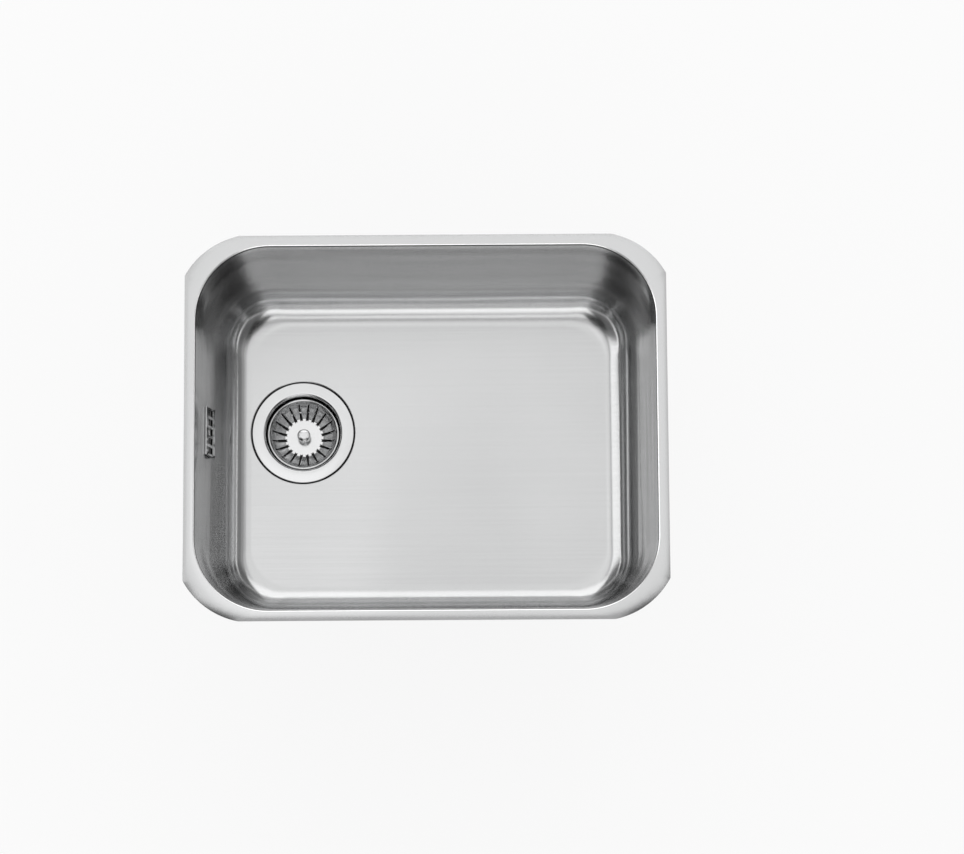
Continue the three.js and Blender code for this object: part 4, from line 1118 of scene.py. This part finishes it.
def union_nut(name, node, where):
    """A union nut whose grip has hollows between its lobes."""
    grip_top, chamfer = NUT_TOP - 2.6, 1.5
    bore, lip_bore = PORT_RADIUS + SEAT_GAP, HOSE_RADIUS + SEAT_GAP
    bm = turned(rounded([
        (bore, NUT_FOOT, 0.5), (NUT_RADIUS, NUT_FOOT, 0.8), (NUT_RADIUS, grip_top - 4),
        (NUT_RADIUS, grip_top, 0.8), (NUT_RADIUS - chamfer, NUT_TOP, 0.8), (lip_bore, NUT_TOP, 0.4),
        (lip_bore, NUT_LIP_FOOT, 0.2), (bore, NUT_LIP_FOOT),
    ], closed=True), NUT_LOBES * 12)
    grip_edges = [
        edge for edge in bm.edges
        if edge.calc_length() > 8 and edge.verts[0].co.xy.length > NUT_RADIUS - 0.1
    ]
    bmesh.ops.subdivide_edges(bm, cuts=3, edges=grip_edges)
    for vert in bm.verts:
        radius = vert.co.xy.length
        if radius > NUT_RADIUS - chamfer - 0.1 and NUT_FOOT + 1 < vert.co.z < grip_top:
            phase = math.cos(math.atan2(vert.co.y, vert.co.x) * NUT_LOBES)
            vert.co.xy *= 1 - NUT_LOBE_DEPTH * max(0.0, phase) ** 2 / radius
    piece(name, bm, "sink", GREY_PLASTIC, [node], where)


class HosePath:
    """The hose's centre line: straight out of both ports, with one sweep between them."""

    def __init__(self):
        ends = []
        for union in (upper_union, lower_union):
            ends.append([
                union @ Vector((0, 0, along))
                for along in (HOSE_START, HOSE_STRAIGHT, HOSE_STRAIGHT + HOSE_BEND_PULL)
            ])
        (start, leave, pull), (end, arrive, hold) = ends
        bend = [
            leave * (1 - t) ** 3 + pull * 3 * t * (1 - t) ** 2
            + hold * 3 * t * t * (1 - t) + arrive * t ** 3
            for t in (step / HOSE_STEPS for step in range(HOSE_STEPS + 1))
        ]
        self.points = [start, *bend, end]
        self.marks = [0.0]
        for point, after in zip(self.points, self.points[1:]):
            self.marks.append(self.marks[-1] + (after - point).length)
        self.length = self.marks[-1]
        self.side = (leave - start).cross(end - arrive).normalized()

    def frame(self, distance):
        """The place and direction of a ring across the hose."""
        index = max(i for i, mark in enumerate(self.marks[:-1]) if mark <= distance + 1e-9)
        point, after = self.points[index:index + 2]
        tangent = (after - point).normalized()
        centre = point + tangent * (distance - self.marks[index])
        across = self.side.cross(tangent).normalized()
        upward = tangent.cross(across)
        matrix = Matrix((across, upward, tangent)).transposed().to_4x4()
        matrix.translation = centre
        return matrix


def overflow_hose():
    path = HosePath()
    cuff = HOSE_STRAIGHT - HOSE_START
    ribs = int((path.length - 2 * cuff) / HOSE_RIB_PITCH)
    rib_start = (path.length - ribs * HOSE_RIB_PITCH) / 2
    rib_end = path.length - rib_start
    root, shoulder = HOSE_RADIUS - HOSE_VALLEY, HOSE_RADIUS - 0.3
    skin = [(0, HOSE_COLLAR_RADIUS), (HOSE_COLLAR, HOSE_COLLAR_RADIUS), (HOSE_COLLAR, HOSE_RADIUS)]
    skin += [(rib_start - 1.2, HOSE_RADIUS), (rib_start - 0.6, shoulder)]
    for rib in range(ribs):
        for step in range(8):
            along = rib_start + (rib + step / 8) * HOSE_RIB_PITCH
            lift = math.sqrt(max(0.0, math.sin(math.pi * step / 8)))
            skin.append((along, root + HOSE_VALLEY * lift))
    skin += [(rib_end, root), (rib_end + 0.6, shoulder), (rib_end + 1.2, HOSE_RADIUS)]
    collar_start = path.length - HOSE_COLLAR
    skin += [(collar_start, HOSE_RADIUS), (collar_start, HOSE_COLLAR_RADIUS)]
    skin.append((path.length, HOSE_COLLAR_RADIUS))
    bore = [(path.length * (1 - step / 40), HOSE_BORE_RADIUS) for step in range(41)]
    bm = bmesh.new()
    loops = [circle_edges(bm, radius, path.frame(along), 40) for along, radius in [*skin, *bore]]
    bridge_in_turn(bm, [*loops, loops[0]])
    face_outwards(bm)
    piece("overflow_hose_ribbed", bm, "sink", WHITE_PLASTIC, ["overflow_hose"], sharp=60)


union_nut("union_nut_upper", "hose_nut_upper", upper_union)
union_nut("union_nut_lower", "hose_nut_lower", lower_union)
overflow_hose()

# ---- Pieces that keep the node's own shape ----


def refined(name, node, finish, soften):
    """A copy of a node's own mesh with its flat faces joined and its edges softened."""
    source = bpy.data.objects[node]
    bm = bmesh.new()
    bm.from_mesh(source.data)
    bmesh.ops.transform(bm, matrix=source.matrix_world, verts=bm.verts)
    bmesh.ops.scale(bm, vec=(1 / MM, 1 / MM, 1 / MM), verts=bm.verts)
    bmesh.ops.remove_doubles(bm, verts=bm.verts, dist=2e-3)
    bmesh.ops.dissolve_limit(
        bm, angle_limit=math.radians(1), verts=bm.verts, edges=bm.edges,
        use_dissolve_boundaries=False,
    )
    piece(name, bm, "sink", finish, [node], soften=soften)


refined("sound_pad_sheet", "sound_pad", PAD, soften=0.7)
refined("overflow_housing_moulding", "overflow_housing", GREY_PLASTIC, soften=0.5)
refined("overflow_gasket", "overflow_seal", RUBBER, soften=0.4)
refined("clamp_insert_turned", "clamp_insert", BRASS, soften=0.3)

# ---- Studio and camera ----

STUDIO_WHITE = (1.0, 1.0, 1.0, 1.0)
BLACK = (0.0, 0.0, 0.0, 1.0)
CANOPY_HEIGHT = 2.0
CAMERA_PLACE = (0.0606, -0.7757, 4.2)
CAMERA_TILT = math.radians(10.44)
CAMERA_TURN = math.radians(-0.36)
CAMERA_LENS = 147.6


def seen_or_reflected(tree):
    """1 for camera, glossy and transmission rays, 0 for the rays that light the object."""
    path = tree.nodes.new("ShaderNodeLightPath")
    total = path.outputs["Is Camera Ray"]
    for name in ("Is Glossy Ray", "Is Transmission Ray"):
        largest = tree.nodes.new("ShaderNodeMath")
        largest.operation = "MAXIMUM"
        tree.links.new(total, largest.inputs[0])
        tree.links.new(path.outputs[name], largest.inputs[1])
        total = largest.outputs[0]
    return total


def whitened(tree, share, plain, white, output):
    """Shows a share of white, instead of the plain shader, to the rays that see or reflect it."""
    part = tree.nodes.new("ShaderNodeMath")
    part.operation = "MULTIPLY"
    part.inputs[1].default_value = share
    tree.links.new(seen_or_reflected(tree), part.inputs[0])
    white.inputs["Color"].default_value = STUDIO_WHITE
    mix = tree.nodes.new("ShaderNodeMixShader")
    for source, socket in zip((part, plain, white), mix.inputs):
        tree.links.new(source.outputs[0], socket)
    tree.links.new(mix.outputs[0], tree.nodes[output].inputs["Surface"])


def studio_world():
    world = bpy.data.worlds.new("studio")
    bpy.context.scene.world = world
    world.use_nodes = True
    tree = world.node_tree
    dim = tree.nodes["Background"]
    dim.inputs["Color"].default_value = (0.62, 0.62, 0.62, 1.0)
    whitened(tree, 1.0, dim, tree.nodes.new("ShaderNodeBackground"), "World Output")


def studio_floor():
    bm = bmesh.new()
    bmesh.ops.create_grid(bm, x_segments=1, y_segments=1, size=9)
    place(bm, Matrix.Translation((0, 0, cad_bounds[0][2] - 0.001)))
    matt = Finish("pale_floor", roughness=0.9, Base_Color=(0.86, 0.86, 0.86, 1.0))
    glow = matt.node("Emission")
    whitened(matt.tree, 0.85, matt.shader, glow, "Material Output")
    floor = mesh_in_scene("studio_floor", bm, matt.material)


def softbox(name, centre, size, radiance):
    """A soft light that hangs level over the sink; radiance 1 looks as bright as the white world."""
    light = bpy.data.lights.new(name, "AREA")
    light.shape = "RECTANGLE"
    light.size, light.size_y = size
    light.energy = radiance * math.pi * size[0] * size[1]
    lamp = in_scene(name, light)
    lamp.location = (*centre, CANOPY_HEIGHT)
    lamp.visible_camera = False


def board(name, centre, size, glow, drop=0.01):
    """A board over the sink, seen only in the metal, which gives it its light and dark tones."""
    bm = bmesh.new()
    bmesh.ops.create_grid(bm, x_segments=1, y_segments=1, size=0.5)
    bmesh.ops.scale(bm, vec=(*size, 1), verts=bm.verts)
    place(bm, Matrix.Translation((*centre, CANOPY_HEIGHT - drop)))
    shade = Finish(
        name, Base_Color=BLACK, Specular_IOR_Level=0.0, Emission_Color=STUDIO_WHITE,
        Emission_Strength=glow,
    )
    made = mesh_in_scene(name, bm, shade.material)
    made.visible_camera = False
    made.visible_diffuse = False
    made.visible_shadow = False


def camera():
    data = bpy.data.cameras.new("camera")
    data.sensor_fit = "HORIZONTAL"
    data.sensor_width = 36.0
    data.lens = CAMERA_LENS
    data.clip_end = 50.0
    seen = in_scene("camera", data)
    turned_down = Matrix.Rotation(CAMERA_TILT, 4, "X") @ Matrix.Rotation(CAMERA_TURN, 4, "Z")
    seen.matrix_world = Matrix.Translation(CAMERA_PLACE) @ turned_down
    bpy.context.scene.camera = seen


studio_world()
studio_floor()
softbox("softbox_behind", (0.0, 4.2), (3.0, 5.6), 1.35)
softbox("softbox_in_front", (0.0, -4.4), (2.6, 4.8), 1.2)
softbox("softbox_left", (-6.4, 0.0), (2.4, 5.0), 1.8)
softbox("softbox_right", (6.4, 0.0), (2.4, 5.0), 1.2)
board("pale_canopy", (0.0, 0.0), (18.0, 16.0), 0.8, drop=-0.04)
board("dim_canopy", (0.0, 0.0), (8.6, 7.0), 0.14, drop=-0.02)
board("white_overhead", (0.0, 0.52), (1.6, 1.56), 1.02)
board("white_above_left", (-0.3, 0.12), (0.4, 0.44), 1.22, drop=0.03)
board("grey_front_near", (0.0, -0.58), (0.9, 0.56), 0.5)
board("white_front_middle", (0.0, -1.11), (0.9, 0.44), 1.6)
board("grey_front_far", (0.0, -1.67), (0.9, 0.6), 0.5)
board("pale_left", (-0.98, 0.55), (0.36, 1.3), 0.75)
board("bright_left", (-2.9, 0.55), (3.48, 1.3), 1.5)
board("pale_right", (1.05, 0.6), (0.5, 1.2), 0.72)
board("grey_right", (1.7, 0.5), (0.8, 1.3), 0.45)
board("dim_right", (3.6, 0.5), (3.0, 1.3), 0.28)
board("dark_front_left", (-1.1, -0.95), (1.2, 1.3), 0.0)
board("dark_front_right", (1.0, -0.8), (1.0, 1.2), 0.0)
camera()
bpy.context.scene.view_settings.view_transform = "Standard"
